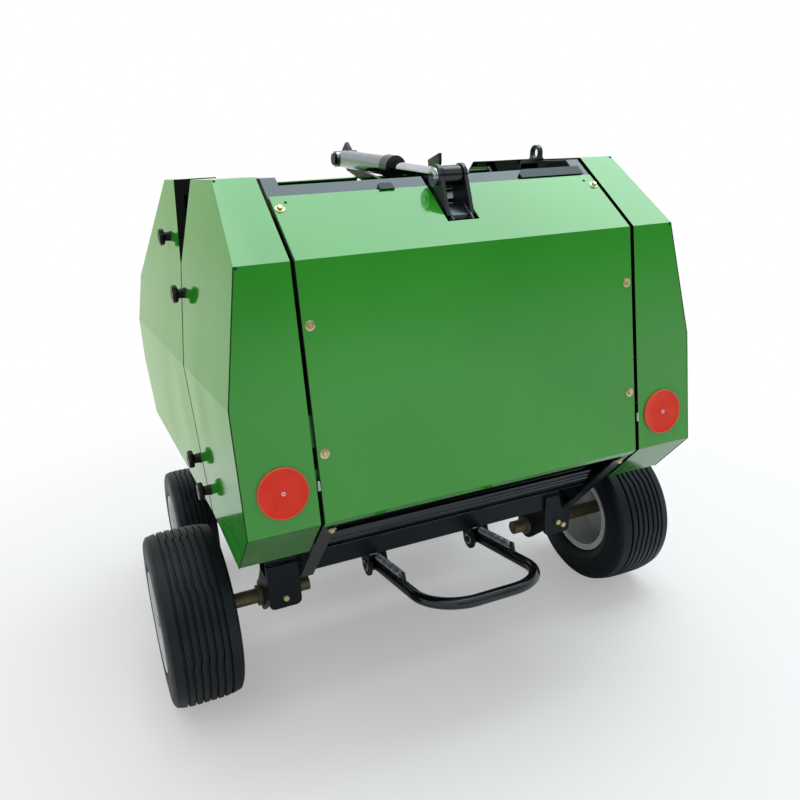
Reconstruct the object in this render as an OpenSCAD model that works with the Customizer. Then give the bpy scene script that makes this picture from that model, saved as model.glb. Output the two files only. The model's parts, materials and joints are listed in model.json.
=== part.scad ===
// Round baler for a small tractor, three-point hitch, standing on its four tyres.
// Units are millimetres. X is right, Y is forward (travel), Z is up, Z = 0 is the ground.

/* [Chamber] */
// half width over the chamber side plates
half_w = 368; // [340:1:400]
// thickness of the chamber side plates
plate_t = 6; // [4:0.5:8]
// width of the flange turned in along the tailgate plates
flange_w = 31; // [25:1:36]
// height of the chamber centre
chamber_z = 705; // [695:1:712]
// distance of the roller axes from the chamber centre
ring_r = 392; // [384:1:396]
// radius of a roller over its ribs
roller_r = 56; // [48:1:58]

/* [Outline of the covers] */
// height of the flat top
top_z = 1177; // [1160:1:1200]
// flat top behind the notch
rear_flat = 177.5; // [165:0.5:190]
// flat top ahead of the notch
front_flat = 108.5; // [95:0.5:120]
// upper rear bend, back
bend_y = -481; // [-495:1:-470]
// upper rear bend, height
bend_z = 1038; // [1025:1:1050]
// lower rear corner, back
tail_y = -547; // [-560:1:-535]
// lower rear corner, height
tail_z = 558; // [548:1:568]
// slope of the lower rear face
tail_slope = 48.2; // [46:0.1:50]
// length of the cover flap under the rear corner
flap_len = 140; // [120:1:150]
// bottom of the covers at the split
foot_z = 497; // [485:1:510]
// front lower corner, forward
chin_y = 370; // [355:1:385]
// front lower corner, height
chin_z = 536; // [526:1:546]
// front face, forward
nose_y = 450; // [440:1:465]
// front face, lower end
nose_low_z = 680; // [660:1:700]
// front face, upper end
nose_top_z = 920; // [900:1:940]
// sheet thickness of covers and panel
skin_t = 3; // [2:0.5:4]
// half width of the covers at the rear
side_w = 517; // [495:1:530]
// height of the fold in the side covers
fold_z = 796; // [770:1:820]
// inward lean of the covers above the fold
lean = 10.2; // [8:0.2:12]
// outward turn of the covers towards the front
flare = 2.4; // [1.6:0.1:2.8]
// open seam beside the tailgate panel
seam_gap = 8; // [6:0.5:10]

/* [Tailgate] */
// hinge axis, forward
hinge_y = -73; // [-80:1:-66]
// hinge axis, height
hinge_z = 1004; // [996:1:1012]
// backward slope of the split, per unit of height
split_k = 0.381; // [0.36:0.002:0.4]
// open gap along the split
split_gap = 9; // [8:0.5:12]
// lean of the notch towards the rear
notch_rear = 14.6; // [12:0.2:17]
// lean of the notch towards the front
notch_front = 34.7; // [33:0.2:37]
// upper edge of the rear panel
panel_top_y = -346; // [-352:1:-340]
// radius of the reflectors
reflector_r = 49; // [42:1:54]
// height of the reflectors
reflector_z = 633; // [620:1:650]
// half distance of the reflectors
reflector_x = 441; // [436:1:448]

/* [Cylinder] */
// rod pin, forward
rod_pin_y = -370; // [-374:1:-366]
// rod pin, below the flat top
rod_pin_drop = 18; // [15:1:20]
// barrel pin, forward
barrel_pin_y = 197; // [192:1:202]
// barrel pin, above the flat top
barrel_pin_up = 26; // [23:1:29]
// radius of the barrel
barrel_r = 22; // [20:0.5:23]
// radius of the rod
rod_r = 12.5; // [10:0.5:14]
// rod showing between gland and pin
rod_out = 244; // [238:1:250]
// radius of both cylinder pins
cyl_pin_r = 10; // [8:0.5:11]

/* [Wheels] */
// radius of the main tyres
tyre_r = 203; // [195:1:212]
// width of the main tyres
tyre_w = 163; // [150:1:170]
// half track of the main wheels
track_x = 594.5; // [590:0.5:605]
// axle, forward
axle_y = -176; // [-182:1:-168]
// radius of the main rims over the flange
rim_r = 115; // [108:1:118]
// radius of the axles
axle_r = 18; // [16:0.5:20]
// radius of the gauge tyres
gauge_r = 165; // [158:1:170]
// width of the gauge tyres
gauge_w = 112; // [100:1:116]
// half track of the gauge wheels
gauge_x = 500; // [494:1:510]
// gauge wheels, forward
gauge_y = 372; // [360:1:385]

/* [Under frame] */
// rear face of the rear beam
beam_y = -255; // [-258:1:-252]
// side of the square beams
beam_s = 60; // [50:1:62]
// underside of the rear beam
beam_z = 284; // [280:1:290]
// half distance of the kicker arms
kick_x = 145; // [138:1:152]
// kicker pivot, below the rear beam
kick_drop = 34; // [32:1:38]
// length of the kicker behind its pivot
kick_len = 336; // [325:1:345]
// bend radius of the kicker
kick_bend = 100; // [85:1:110]
// upward slope of the kicker
kick_rise = 9.7; // [8:0.1:11]
// radius of the kicker bar
kick_r = 13; // [11:0.5:15]

/* [Pick-up] */
// reel axis, forward
reel_y = 330; // [324:1:336]
// reel axis, height
reel_z = 262; // [256:1:270]
// radius of the tine tips
tine_tip = 150; // [140:1:156]
// radius of the stripper bands
band_r = 106; // [100:1:110]
// number of stripper bands
band_n = 13; // [11:1:15]
// slit between two bands
band_slit = 17; // [17:0.5:20]

/* [Hitch] */
// lower pin shoulders, inside the chamber plates
link_inset = 26.5; // [18:0.5:32]
// lower pins, forward
link_y = 535; // [530:1:545]
// lower pins, height
link_z = 478; // [470:1:486]
// radius of the lower pins
link_r = 11; // [9:0.5:14]
// free length of the lower pins
link_len = 88; // [80:1:100]
// top link hole, forward
top_link_y = 528; // [520:1:536]
// top link hole, height
top_link_z = 937; // [925:1:950]
// radius of the top link hole
top_link_r = 9.6; // [8:0.1:12.8]
// drive shaft, height
pto_z = 610; // [604:1:618]
// radius of the drive shaft
pto_r = 17.4; // [15:0.1:20]
// free length of the drive shaft
pto_len = 84; // [70:1:90]

/* [Hidden] */
$fn = 64;
eps = 0.01;
inner_w = half_w - plate_t;
seam_x = half_w + seam_gap;
chamber_y = hinge_y - 2;
flap_y = tail_y + flap_len * cos(tail_slope);
flap_z = tail_z - flap_len * sin(tail_slope);
function split_y(z, off) = hinge_y - split_k * (hinge_z - z) + off;
// point where the split meets the lower rear face
low_t = (hinge_y - split_k * (hinge_z - tail_z) - tail_y) / (1 + split_k * tan(tail_slope));
low_y = tail_y + low_t;
low_z = tail_z - low_t * tan(tail_slope);
half_gap = split_gap / 2;
v_rear_y = hinge_y - half_gap - (top_z - hinge_z) * tan(notch_rear);
v_front_y = hinge_y + half_gap + (top_z - hinge_z) * tan(notch_front);
top_rear_y = v_rear_y - rear_flat;
top_front_y = v_front_y + front_flat;
// height of the upper rear slope
function slope_z(y) = top_z + (y - top_rear_y) * (top_z - bend_z) / (top_rear_y - bend_y);
// covers, counter-clockwise in (y, z)
rear_poly = [[hinge_y - half_gap, hinge_z], [v_rear_y, top_z], [top_rear_y, top_z], [bend_y, bend_z],
    [tail_y, tail_z], [flap_y, flap_z], [split_y(foot_z, -half_gap), foot_z]];
front_poly = [[hinge_y + half_gap, hinge_z], [split_y(foot_z, half_gap), foot_z], [chin_y, chin_z],
    [nose_y, nose_low_z], [nose_y, nose_top_z], [top_front_y, top_z], [v_front_y, top_z]];
gate_poly = [[hinge_y - half_gap, hinge_z], [v_rear_y, top_z], [top_rear_y, top_z], [bend_y, bend_z],
    [tail_y, tail_z], [low_y - split_gap * 0.6, low_z]];
rear_lean = atan2(bend_y - tail_y, bend_z - tail_z);
eye_r = 38;
hinge_pin_r = 12;
lug_gap = 3;
lug_t = 8;
plate_drop = 14;
beam_t = 5;
beam_y1 = beam_y + beam_s;
beam_z1 = beam_z + beam_s;
front_beam_y = nose_y - beam_s - 18;
front_beam_z = link_z - 8;
front_beam_y1 = front_beam_y + beam_s;
front_beam_z1 = front_beam_z + beam_s;
top_tube_s = 44;
top_tube_drop = 48;
top_tube_y = v_front_y - 18;
top_tube_z1 = top_z - top_tube_drop;
top_tube_z = top_tube_z1 - top_tube_s;
rod_pin_z = top_z - rod_pin_drop;
barrel_pin_z = top_z + barrel_pin_up;
gate_tube_s = 40;
gate_tube_y = rod_pin_y - 16;
gate_tube_z = slope_z(gate_tube_y) - gate_tube_s - 11;
gate_tube_z1 = gate_tube_z + gate_tube_s;
shaft_play = 0.4;
roller_shaft_r = 15;
roller_half = half_w - flange_w - 9;
roller_body_r = roller_r - 6;
gate_angles = [215, 189, 163, 137, 111];
front_angles = [56, 26, -4, -75, -98];
function ring_y(a) = chamber_y + ring_r * cos(a);
function ring_z(a) = chamber_z + ring_r * sin(a);
// cylinder: where the bore and the rod start inside the barrel, and the travel left for opening
bore_from = 50;
rod_from = bore_from + 142;
cyl_len = norm([rod_pin_y - barrel_pin_y, rod_pin_z - barrel_pin_z]);
cyl_tilt = atan2(rod_pin_z - barrel_pin_z, barrel_pin_y - rod_pin_y);
cyl_eye_r = 20;
barrel_eye_w = 48;
rod_eye_w = 40;
mount_in = barrel_eye_w / 2 + 3;
mount_t = 9;
bracket_in = rod_eye_w / 2 + 3;
bracket_t = 8;
rod_eye_hole = cyl_pin_r + 6.5;
slot_x = bracket_in + bracket_t + 4;
slot_len = 84;
flange_t = 5;
// bands run back past the tines to two cross bars
band_t = 3;
band_leg = tine_tip + 15;
band_bar_r = 11;
band_bar_z = [reel_z - band_r + band_t + band_bar_r - eps, reel_z + band_r - band_t - band_bar_r + eps];
kick_y = beam_y + 12;
kick_z = beam_z - kick_drop;
kick_arm = kick_len - kick_bend - kick_r;
link_x = half_w - link_inset;
link_pad = 30;
link_front = link_y + link_pad;
rear_end = min(tail_y, kick_y - (kick_len - kick_r) * cos(kick_rise) - kick_r);

green = [0.24, 0.52, 0.22];
black = [0.07, 0.07, 0.09];
steel = [0.72, 0.72, 0.74];
rubber = [0.05, 0.05, 0.05];
white = [0.88, 0.88, 0.86];
olive = [0.36, 0.33, 0.22];

// Helpers
function unit(v) = v / norm(v);
function left_of(a, b) = let (d = unit(b - a)) [-d[1], d[0]];
function inset(p, t) = let (n = len(p)) [for (i = [0 : n - 1])
    let (n1 = left_of(p[(i + n - 1) % n], p[i]), n2 = left_of(p[i], p[(i + 1) % n]))
    p[i] + t * (n1 + n2) / (1 + n1 * n2)];

// (y, z) outline drawn along X from x0 to x1
module yz(points, x0, x1) {
    translate([x0, 0, 0]) rotate([90, 0, 90]) linear_extrude(height = x1 - x0) polygon(points);
}

// (x, z) outline drawn along Y from y0 to y1
module xz(points, y0, y1) {
    translate([0, y1, 0]) rotate([90, 0, 0]) linear_extrude(height = y1 - y0) polygon(points);
}

// box between two corners
module block(a, b) {
    translate(a) cube(b - a);
}

// round bar along X
module x_bar(x0, x1, y, z, r) {
    translate([x0, y, z]) rotate([0, 90, 0]) cylinder(r = r, h = x1 - x0);
}

// both sides
module pair() {
    children();
    mirror([1, 0, 0]) children();
}

// solid inside of the right-hand side face, t under the surface
module side_slab(t) {
    rise = top_z - fold_z + 60;
    w = side_w - t;
    translate([0, tail_y, 0]) rotate([0, 0, -flare]) translate([0, -tail_y, 0])
        xz([[0, 100], [w, 100], [w, fold_z], [w - rise * tan(lean), fold_z + rise], [0, fold_z + rise]],
            -900, 900);
}

// right-hand cover, open towards the chamber plate; along the open edges it has a narrow lip only
lip_w = 20;
module cover(poly, tabs, edge, side) {
    difference() {
        union() {
            difference() {
                intersection() {
                    yz(poly, seam_x, 760);
                    side_slab(0);
                }
                intersection() {
                    yz(inset(poly, skin_t), seam_x - 1, 760);
                    side_slab(skin_t);
                }
            }
            for (t = tabs) {
                intersection() {
                    yz(inset(poly, skin_t / 2), seam_x + 1, seam_x + 14);
                    block([0, t[0], t[2]], [700, t[1], t[3]]);
                }
                intersection() {
                    yz(inset(poly, plate_drop), half_w, seam_x + 14);
                    block([0, t[0], t[2]], [700, t[1], t[3]]);
                }
            }
        }
        x_bar(half_w - 1, half_w + lug_gap + lug_t + 14, hinge_y, hinge_z, eye_r + 16);
        intersection() {
            yz(concat([for (p = edge) p + [side * split_gap, 0]],
                [for (i = [len(edge) - 1 : -1 : 0]) edge[i] - [side * 1.4 * skin_t, 0]]), seam_x - 1, 760);
            side_slab(lip_w);
        }
    }
}

// edge along the notch and the split, from the top down
function open_edge(top_y, gap) = [[top_y, top_z + 1], [hinge_y + gap, hinge_z],
    [split_y(foot_z - 1, gap), foot_z - 1]];

module gate_cover() {
    cover(rear_poly, [[bend_y - 90, bend_y + 26, 700, 760],
        [tail_y - 20, tail_y + 62, tail_z + 60, tail_z + 100],
        [v_rear_y - 90, v_rear_y - 40, top_z - 40, top_z + 5]], open_edge(v_rear_y, -half_gap), 1);
}

module front_cover() {
    cover(front_poly, [[nose_y - 50, nose_y + 10, 780, 830],
        [v_front_y + 40, v_front_y + 90, top_z - 40, top_z + 5],
        [0, 60, foot_z - 20, foot_z + 52]], open_edge(v_front_y, half_gap), -1);
}

module gate_cover_left() color(green) mirror([1, 0, 0]) gate_cover();
module gate_cover_right() color(green) gate_cover();
module front_cover_left() color(green) mirror([1, 0, 0]) front_cover();
module front_cover_right() color(green) front_cover();

// Frame
module chassis_beam() color(black) {
    difference() {
        block([-half_w - 57, beam_y, beam_z], [half_w + 57, beam_y1, beam_z1]);
        block([-half_w - 60, beam_y + beam_t, beam_z + beam_t],
            [half_w + 60, beam_y1 - beam_t, beam_z1 - beam_t]);
    }
    pair() for (s = [-1, 1]) kick_lug(kick_x + s * kick_lug_x);
    pair() x_bar(kick_x - kick_lug_x - 8, kick_x + kick_lug_x + 8, kick_y, kick_z, kick_pin_r);
    // bar that holds the springs
    pair() x_bar(kick_x - kick_lug_x - 1, kick_x + kick_lug_x + 1,
        kick_y - hook_back * cos(kick_rise) + spring_h * sin(kick_rise),
        kick_z + hook_back * sin(kick_rise) + spring_h * cos(kick_rise), hook_r);
}

// lug under the beam that carries the kicker pin
kick_lug_x = 22;
kick_lug_r = 26;
kick_lug_t = 6;
kick_pin_r = 8;
hook_back = 14;
hook_r = 4;
module kick_lug(x) {
    yz([[beam_y, beam_z + 1], [kick_y - kick_lug_r, kick_z], [kick_y + kick_lug_r, kick_z],
        [beam_y + beam_s - 10, beam_z + 1]], x - kick_lug_t / 2, x + kick_lug_t / 2);
    x_bar(x - kick_lug_t / 2, x + kick_lug_t / 2, kick_y, kick_z, kick_lug_r);
}

// clamp: closed plate behind, two side plates round the axle
clamp_x0 = half_w - 22;
clamp_x1 = half_w + 57;
clamp_t = 8;
clamp_low = tyre_r + 5;
clamp_up = 38;
clamp_round = 14;
clamp_r = axle_r + 19;
clamp_lean = 33;
axle_play = 0.4;
module axle_clamps() color(black) pair() difference() {
    union() {
        block([clamp_x0, beam_y - clamp_t, clamp_low + clamp_round], [clamp_x1, beam_y, beam_z + clamp_up]);
        block([clamp_x0 + clamp_round, beam_y - clamp_t, clamp_low],
            [clamp_x1 - clamp_round, beam_y, clamp_low + clamp_round + 1]);
        for (x = [clamp_x0 + clamp_round, clamp_x1 - clamp_round])
            translate([x, beam_y - clamp_t, clamp_low + clamp_round]) rotate([-90, 0, 0])
                cylinder(r = clamp_round, h = clamp_t);
        for (x = [clamp_x0, clamp_x1 - clamp_t]) {
            yz([[beam_y - 1, clamp_low + clamp_round],
                [axle_y - clamp_r * sin(clamp_lean), tyre_r - clamp_r * cos(clamp_lean)],
                [axle_y + clamp_r, tyre_r], [beam_y1, beam_z], [beam_y - 1, beam_z]], x, x + clamp_t);
            x_bar(x, x + clamp_t, axle_y, tyre_r, clamp_r);
        }
    }
    x_bar(clamp_x0 - 5, clamp_x1 + 5, axle_y, tyre_r, axle_r + axle_play);
}

hub_x0 = track_x + 8;
hub_x1 = track_x + 62;
spindle_r = axle_r - 3;
axle_in = 66;
collar_t = 10;
collar_r = axle_r + 7;
module axle_tubes() color(olive) pair() {
    x_bar(half_w - axle_in, hub_x0 - 6, axle_y, tyre_r, axle_r);
    x_bar(hub_x0 - 7, hub_x1 + 3, axle_y, tyre_r, spindle_r);
    // collars on both clamp faces
    x_bar(clamp_x1, clamp_x1 + collar_t, axle_y, tyre_r, collar_r);
    x_bar(clamp_x0 - collar_t, clamp_x0, axle_y, tyre_r, collar_r);
}

front_plate_poly = [[hinge_y + half_gap, hinge_z], [split_y(beam_z1 + 40, half_gap), beam_z1 + 40],
    [beam_y, beam_z1], [beam_y1, beam_z1], [beam_y1 + 8, beam_z1], [beam_y1 + 8, beam_z],
    [ring_y(-98) - 36, ring_z(-98) - 58], [ring_y(-75) + 62, ring_z(-75) - 58], [chin_y - 70, chin_z - 106],
    [nose_y - plate_drop, front_beam_z - 10], [nose_y - plate_drop, nose_top_z - 6],
    [top_front_y - 6, top_z - plate_drop], [v_front_y + 8, top_z - plate_drop]];

// hole in a side plate for the shaft of the roller at that angle
module shaft_hole(a) x_bar(inner_w - 2, half_w + 2, ring_y(a), ring_z(a), roller_shaft_r + shaft_play);

module front_frame() color(black) {
    pair() difference() {
        union() {
            yz(front_plate_poly, inner_w, half_w);
            // hinge lug outside the tailgate eye
            yz([[hinge_y, hinge_z - eye_r], [hinge_y + 128, hinge_z - 40], [hinge_y + 128, hinge_z + 40],
                [hinge_y, hinge_z + eye_r]], half_w + lug_gap, half_w + lug_gap + lug_t);
            x_bar(half_w + lug_gap, half_w + lug_gap + lug_t, hinge_y, hinge_z, eye_r);
            block([half_w - 1, hinge_y + 66, hinge_z - 36],
                [half_w + lug_gap + 1, hinge_y + 120, hinge_z + 36]);
            x_bar(inner_w - 6, half_w + lug_gap + lug_t + 4, hinge_y, hinge_z, hinge_pin_r);
        }
        difference() {
            x_bar(inner_w - 1, half_w + lug_gap - eps, hinge_y, hinge_z, eye_r + 6);
            x_bar(inner_w - 8, half_w + 20, hinge_y, hinge_z, hinge_pin_r);
        }
        for (a = front_angles) shaft_hole(a);
        for (z = band_bar_z) x_bar(inner_w - 2, half_w + 2, reel_y - band_leg, z, band_bar_r + shaft_play);
    }
    // upper cross tube with a stop tab
    block([-inner_w, top_tube_y, top_tube_z], [inner_w, top_tube_y + top_tube_s, top_tube_z1]);
    yz([[top_tube_y, top_tube_z1 - 1], [top_tube_y + stop_w, top_tube_z1 - 1],
        [top_tube_y + stop_w + 6, top_z + stop_up - 15], [top_tube_y - stop_back, top_z + stop_up],
        [top_tube_y - stop_back, top_z + stop_up - 22]], stop_x, stop_x + stop_t);
}
stop_x = 180;
stop_t = 8;
stop_w = 20;
stop_back = 34;
stop_up = 27;

// opening in the hood for the mount of the cylinder
hood_slot_low = 80;
hood_slot_len = 90;
hood_slot_play = 6;
module front_hood() color(green) difference() {
    intersection() {
        difference() {
            yz(inset(front_poly, plate_drop + 6), -inner_w, inner_w);
            yz(inset(front_poly, plate_drop + 6 + skin_t), -inner_w - 1, inner_w + 1);
        }
        yz([[v_front_y + 14, top_z + 60], [v_front_y + 14, top_z - 36], [top_front_y - 40, nose_top_z],
            [nose_y - 60, nose_low_z + 40], [nose_y + 40, nose_low_z + 40], [nose_y + 40, top_z + 60]],
            -900, 900);
    }
    block([mount_in - hood_slot_play, v_front_y - 40, top_z - hood_slot_low],
        [mount_in + mount_t + hood_slot_play, top_front_y + hood_slot_len, top_z + 30]);
}

// fin on the cross tube that carries the barrel pin, on the right of the barrel
mount_lead = 48;
mount_tip = 42;
mount_nose = 86;
mount_nose_up = 16;
mount_low = 30;
mount_foot = 22;
mount_boss_r = 20;
pin_head_r = 15;
module cylinder_mount() color(black) {
    yz([[top_tube_y, top_tube_z1], [top_tube_y + top_tube_s, top_tube_z1],
        [barrel_pin_y + mount_lead, barrel_pin_z - mount_low],
        [barrel_pin_y + mount_nose, barrel_pin_z + mount_nose_up],
        [barrel_pin_y + mount_lead, barrel_pin_z + mount_tip],
        [barrel_pin_y - mount_lead, barrel_pin_z - mount_low],
        [top_tube_y, top_tube_z1 + mount_foot]], mount_in, mount_in + mount_t);
    x_bar(mount_in, mount_in + mount_t, barrel_pin_y, barrel_pin_z, mount_boss_r);
    x_bar(-mount_in - 3, mount_in + mount_t + 8, barrel_pin_y, barrel_pin_z, cyl_pin_r);
    x_bar(-mount_in - 3, -mount_in + 1, barrel_pin_y, barrel_pin_z, pin_head_r);
}

mast_x = 98;
mast_t = 10;
module hitch_beam() color(black) {
    difference() {
        block([-inner_w, front_beam_y, front_beam_z], [inner_w, front_beam_y1, front_beam_z1]);
        block([-inner_w + 8, front_beam_y + beam_t, front_beam_z + beam_t],
            [inner_w - 8, front_beam_y1 - beam_t, front_beam_z1 - beam_t]);
    }
    // lower link brackets with free pins
    pair() {
        yz([[front_beam_y1, front_beam_z], [link_y - 10, link_z - 30], [link_front - 8, link_z - 30],
            [link_front, link_z - 22], [link_front, link_z + 22], [link_front - 8, link_z + 30],
            [front_beam_y1, front_beam_z1]], link_x - 14, link_x);
        x_bar(link_x - 4, link_x + link_len, link_y, link_z, link_r);
    }
}

// mast with the top link jaw
mast_foot = 42;
mast_head = 40;
mast_neck = 18;
jaw_in = 24;
jaw_t = 10;
mast_y = top_link_y - mast_head - 2;
mast_y1 = top_link_y - 2;
mast_top = top_link_z - mast_neck;
module hitch_mast() color(black) {
    pair() yz([[front_beam_y1, front_beam_z], [front_beam_y1 + mast_foot, front_beam_z],
        [mast_y1, mast_top - 52], [mast_y1, mast_top], [mast_y, mast_top], [front_beam_y1, front_beam_z1 + 80]],
        mast_x, mast_x + mast_t);
    block([-mast_x - 1, mast_y, mast_top - mast_head], [mast_x + 1, mast_y1, mast_top]);
    pair() difference() {
        yz([[mast_y, mast_top - 1], [mast_y1, mast_top - 1], [top_link_y + 22, top_link_z - 10],
            [top_link_y + 22, top_link_z + 14], [top_link_y + 12, top_link_z + 24],
            [top_link_y - 20, top_link_z + 24]], jaw_in, jaw_in + jaw_t);
        x_bar(jaw_in - 14, jaw_in + jaw_t + 16, top_link_y, top_link_z, top_link_r);
    }
}

// Gearbox: a cast housing on the front beam, with a tube to the left that carries the drive to the chain side
box_x = 72;
box_y0 = front_beam_y + 14;
box_y1 = front_beam_y1 + 34;
box_rise = 66;
box_edge = 16;
rib_t = 6;
rib_n = 4;
box_top = pto_z + box_rise;
tube_r = 21;
cap_r = 44;
tube_y = front_beam_y1 - tube_r - 9;
boss_r = 46;
boss_h = 14;
journal_r = pto_r - 1.4;
module y_bar(y0, y1, z, r) {
    translate([0, y0, z]) rotate([-90, 0, 0]) cylinder(r = r, h = y1 - y0);
}
module gearbox() color(steel) difference() {
    union() {
        xz([[-box_x, front_beam_z1], [box_x, front_beam_z1], [box_x, box_top - box_edge],
            [box_x - box_edge, box_top], [box_edge - box_x, box_top], [-box_x, box_top - box_edge]],
            box_y0, box_y1);
        // ribs over the housing and its foot
        for (i = [0 : rib_n - 1]) let (y = box_y0 + 6 + i * (box_y1 - box_y0 - 12 - rib_t) / (rib_n - 1))
            block([-box_x + 2 * box_edge, y, box_top - 1], [box_x - 2 * box_edge, y + rib_t, box_top + rib_t]);
        block([-box_x - 10, box_y0 + 8, front_beam_z1], [box_x + 10, front_beam_y1 - 4, front_beam_z1 + 10]);
        y_bar(box_y1 - 1, box_y1 + boss_h, pto_z, boss_r);
        x_bar(-inner_w, -box_x + 1, tube_y, pto_z, tube_r);
        x_bar(-box_x - 16, -box_x + 1, tube_y, pto_z, cap_r);
        x_bar(box_x - 1, box_x + 10, tube_y, pto_z, cap_r);
    }
    y_bar(box_y1 - 30, box_y1 + 30, pto_z, journal_r + 0.4);
}

// six-spline shaft: journal, collar, run-out groove, splines and lock groove
spline_w = 8.6;
spline_d = 2.7;
collar_len = 18;
groove_len = 6;
shaft_y0 = box_y1 + boss_h + 0.4;
shaft_y1 = shaft_y0 + pto_len;
module input_shaft() color(steel) {
    y_bar(box_y1 - 28, shaft_y0 + 1, pto_z, journal_r);
    difference() {
        y_bar(shaft_y0, shaft_y1, pto_z, pto_r);
        for (a = [0 : 60 : 300]) translate([0, shaft_y0 + collar_len, pto_z]) rotate([0, a, 0])
            block([pto_r - spline_d, 0, -spline_w / 2], [pto_r + 3, pto_len, spline_w / 2]);
        for (y = [shaft_y0 + collar_len, shaft_y1 - 34]) difference() {
            y_bar(y, y + groove_len, pto_z, pto_r + 3);
            y_bar(y - 1, y + groove_len + 1, pto_z, pto_r - spline_d);
        }
    }
}

// Rollers
module roller(a) {
    y = ring_y(a);
    z = ring_z(a);
    color(black) {
        difference() {
            x_bar(-roller_half, roller_half, y, z, roller_body_r);
            x_bar(-roller_half + 6, roller_half - 6, y, z, roller_body_r - 4.5);
            for (k = [30 : 120 : 270]) translate([0, y, z]) rotate([k, 0, 0])
                x_bar(-half_w, half_w, 0, (roller_body_r + roller_shaft_r) / 2, 8);
        }
        x_bar(-half_w - 4, half_w + 4, y, z, roller_shaft_r);
        for (k = [0 : 45 : 315]) translate([0, y, z]) rotate([k, 0, 0])
            block([-roller_half, -3, roller_body_r - 3], [roller_half, 3, sqrt(roller_r * roller_r - 9)]);
    }
}

module front_roller_1() roller(front_angles[0]);
module front_roller_2() roller(front_angles[1]);
module front_roller_3() roller(front_angles[2]);
module front_roller_4() roller(front_angles[3]);
module front_roller_5() roller(front_angles[4]);
module gate_roller_1() roller(gate_angles[0]);
module gate_roller_2() roller(gate_angles[1]);
module gate_roller_3() roller(gate_angles[2]);
module gate_roller_4() roller(gate_angles[3]);
module gate_roller_5() roller(gate_angles[4]);

// Pick-up: side plates reach behind, below and above the reel axis
band_half = half_w - 24;
band_pitch = 2 * band_half / band_n;
reel_shaft_r = 16;
pick_t = 6;
pick_back = tine_tip + 40;
pick_low = band_r + 14;
pick_top = tine_tip + 26;
pick_crown = 110;
gauge_pin_r = 12;
module pickup_frame() color(black) {
    pair() difference() {
        union() {
            yz([[reel_y - pick_back, reel_z + band_r], [reel_y - pick_back, reel_z - pick_low],
                [gauge_y + 34, gauge_r - 34], [gauge_y + 34, gauge_r + 30], [reel_y + band_r + 10, reel_z],
                [reel_y + 80, reel_z + band_r - 10], [reel_y + 10, reel_z + pick_top],
                [reel_y - pick_crown, reel_z + pick_top - 8]],
                half_w, half_w + pick_t);
            x_bar(half_w + 1, gauge_x - gauge_w / 2 + 6, gauge_y, gauge_r, 22);
            x_bar(half_w + 1, gauge_x + 34, gauge_y, gauge_r, gauge_pin_r);
        }
        x_bar(half_w - 2, half_w + 20, reel_y, reel_z, reel_shaft_r + shaft_play);
    }
    // stripper bands
    band_w = band_pitch - band_slit;
    for (i = [0 : band_n - 1]) translate([-band_half + (i + 0.5) * band_pitch - band_w / 2, 0, 0]) {
        difference() {
            x_bar(0, band_w, reel_y, reel_z, band_r);
            x_bar(-1, band_w + 1, reel_y, reel_z, band_r - band_t);
            block([-1, reel_y - 2 * band_r, reel_z - 2 * band_r], [band_w + 1, reel_y, reel_z + 2 * band_r]);
        }
        for (z = [reel_z - band_r, reel_z + band_r - band_t])
            block([0, reel_y - band_leg - band_bar_r, z], [band_w, reel_y + eps, z + band_t]);
    }
    // cross bars that hold the bands
    for (z = band_bar_z) x_bar(-half_w - 1, half_w + 1, reel_y - band_leg, z, band_bar_r);
}

tine_rows = 4;
tine_r = 3;
tine_bend = 25;
reel_core_r = 34;
tine_foot = band_r - 16;
tine_hook = sqrt(pow(tine_tip - tine_r, 2) - pow(tine_foot * sin(tine_bend), 2)) - tine_foot * cos(tine_bend);
module tine() {
    cylinder(r = tine_r, h = tine_foot, $fn = 16);
    translate([0, 0, tine_foot]) {
        sphere(r = tine_r, $fn = 16);
        rotate([tine_bend, 0, 0]) cylinder(r = tine_r, h = tine_hook, $fn = 16);
    }
}
module pickup_reel() color(steel) {
    x_bar(-half_w - 6, half_w + 6, reel_y, reel_z, reel_shaft_r);
    x_bar(-band_half, band_half, reel_y, reel_z, reel_core_r);
    for (i = [1 : band_n - 1], k = [0 : tine_rows - 1])
        translate([-band_half + i * band_pitch, reel_y, reel_z])
            rotate([k * 360 / tine_rows + (i % 2) * 180 / tine_rows, 0, 0]) tine();
}

// Hand knobs, seated on the face of the cover
front_knob_at = [[56, 1053], [-206, 600]];
gate_knob_at = [[-122, 947], [-274, 551]];
knob_r = 19;
knob_head = 14;
knob_stem_r = 11;
knob_stem = 16;
module knob(p) {
    difference() {
        union() {
            x_bar(side_w - 60, side_w + 60, p[0], p[1], knob_stem_r);
            difference() {
                x_bar(side_w - 60, side_w + 60, p[0], p[1], knob_r);
                translate([knob_stem, 0, 0]) side_slab(0);
            }
        }
        side_slab(0);
        translate([knob_stem + knob_head, 0, 0]) difference() {
            block([0, p[0] - 40, p[1] - 40], [800, p[0] + 40, p[1] + 40]);
            side_slab(0);
        }
    }
}
module front_knobs() color(black) pair() for (p = front_knob_at) knob(p);
module gate_knobs() color(black) pair() for (p = gate_knob_at) knob(p);

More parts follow.
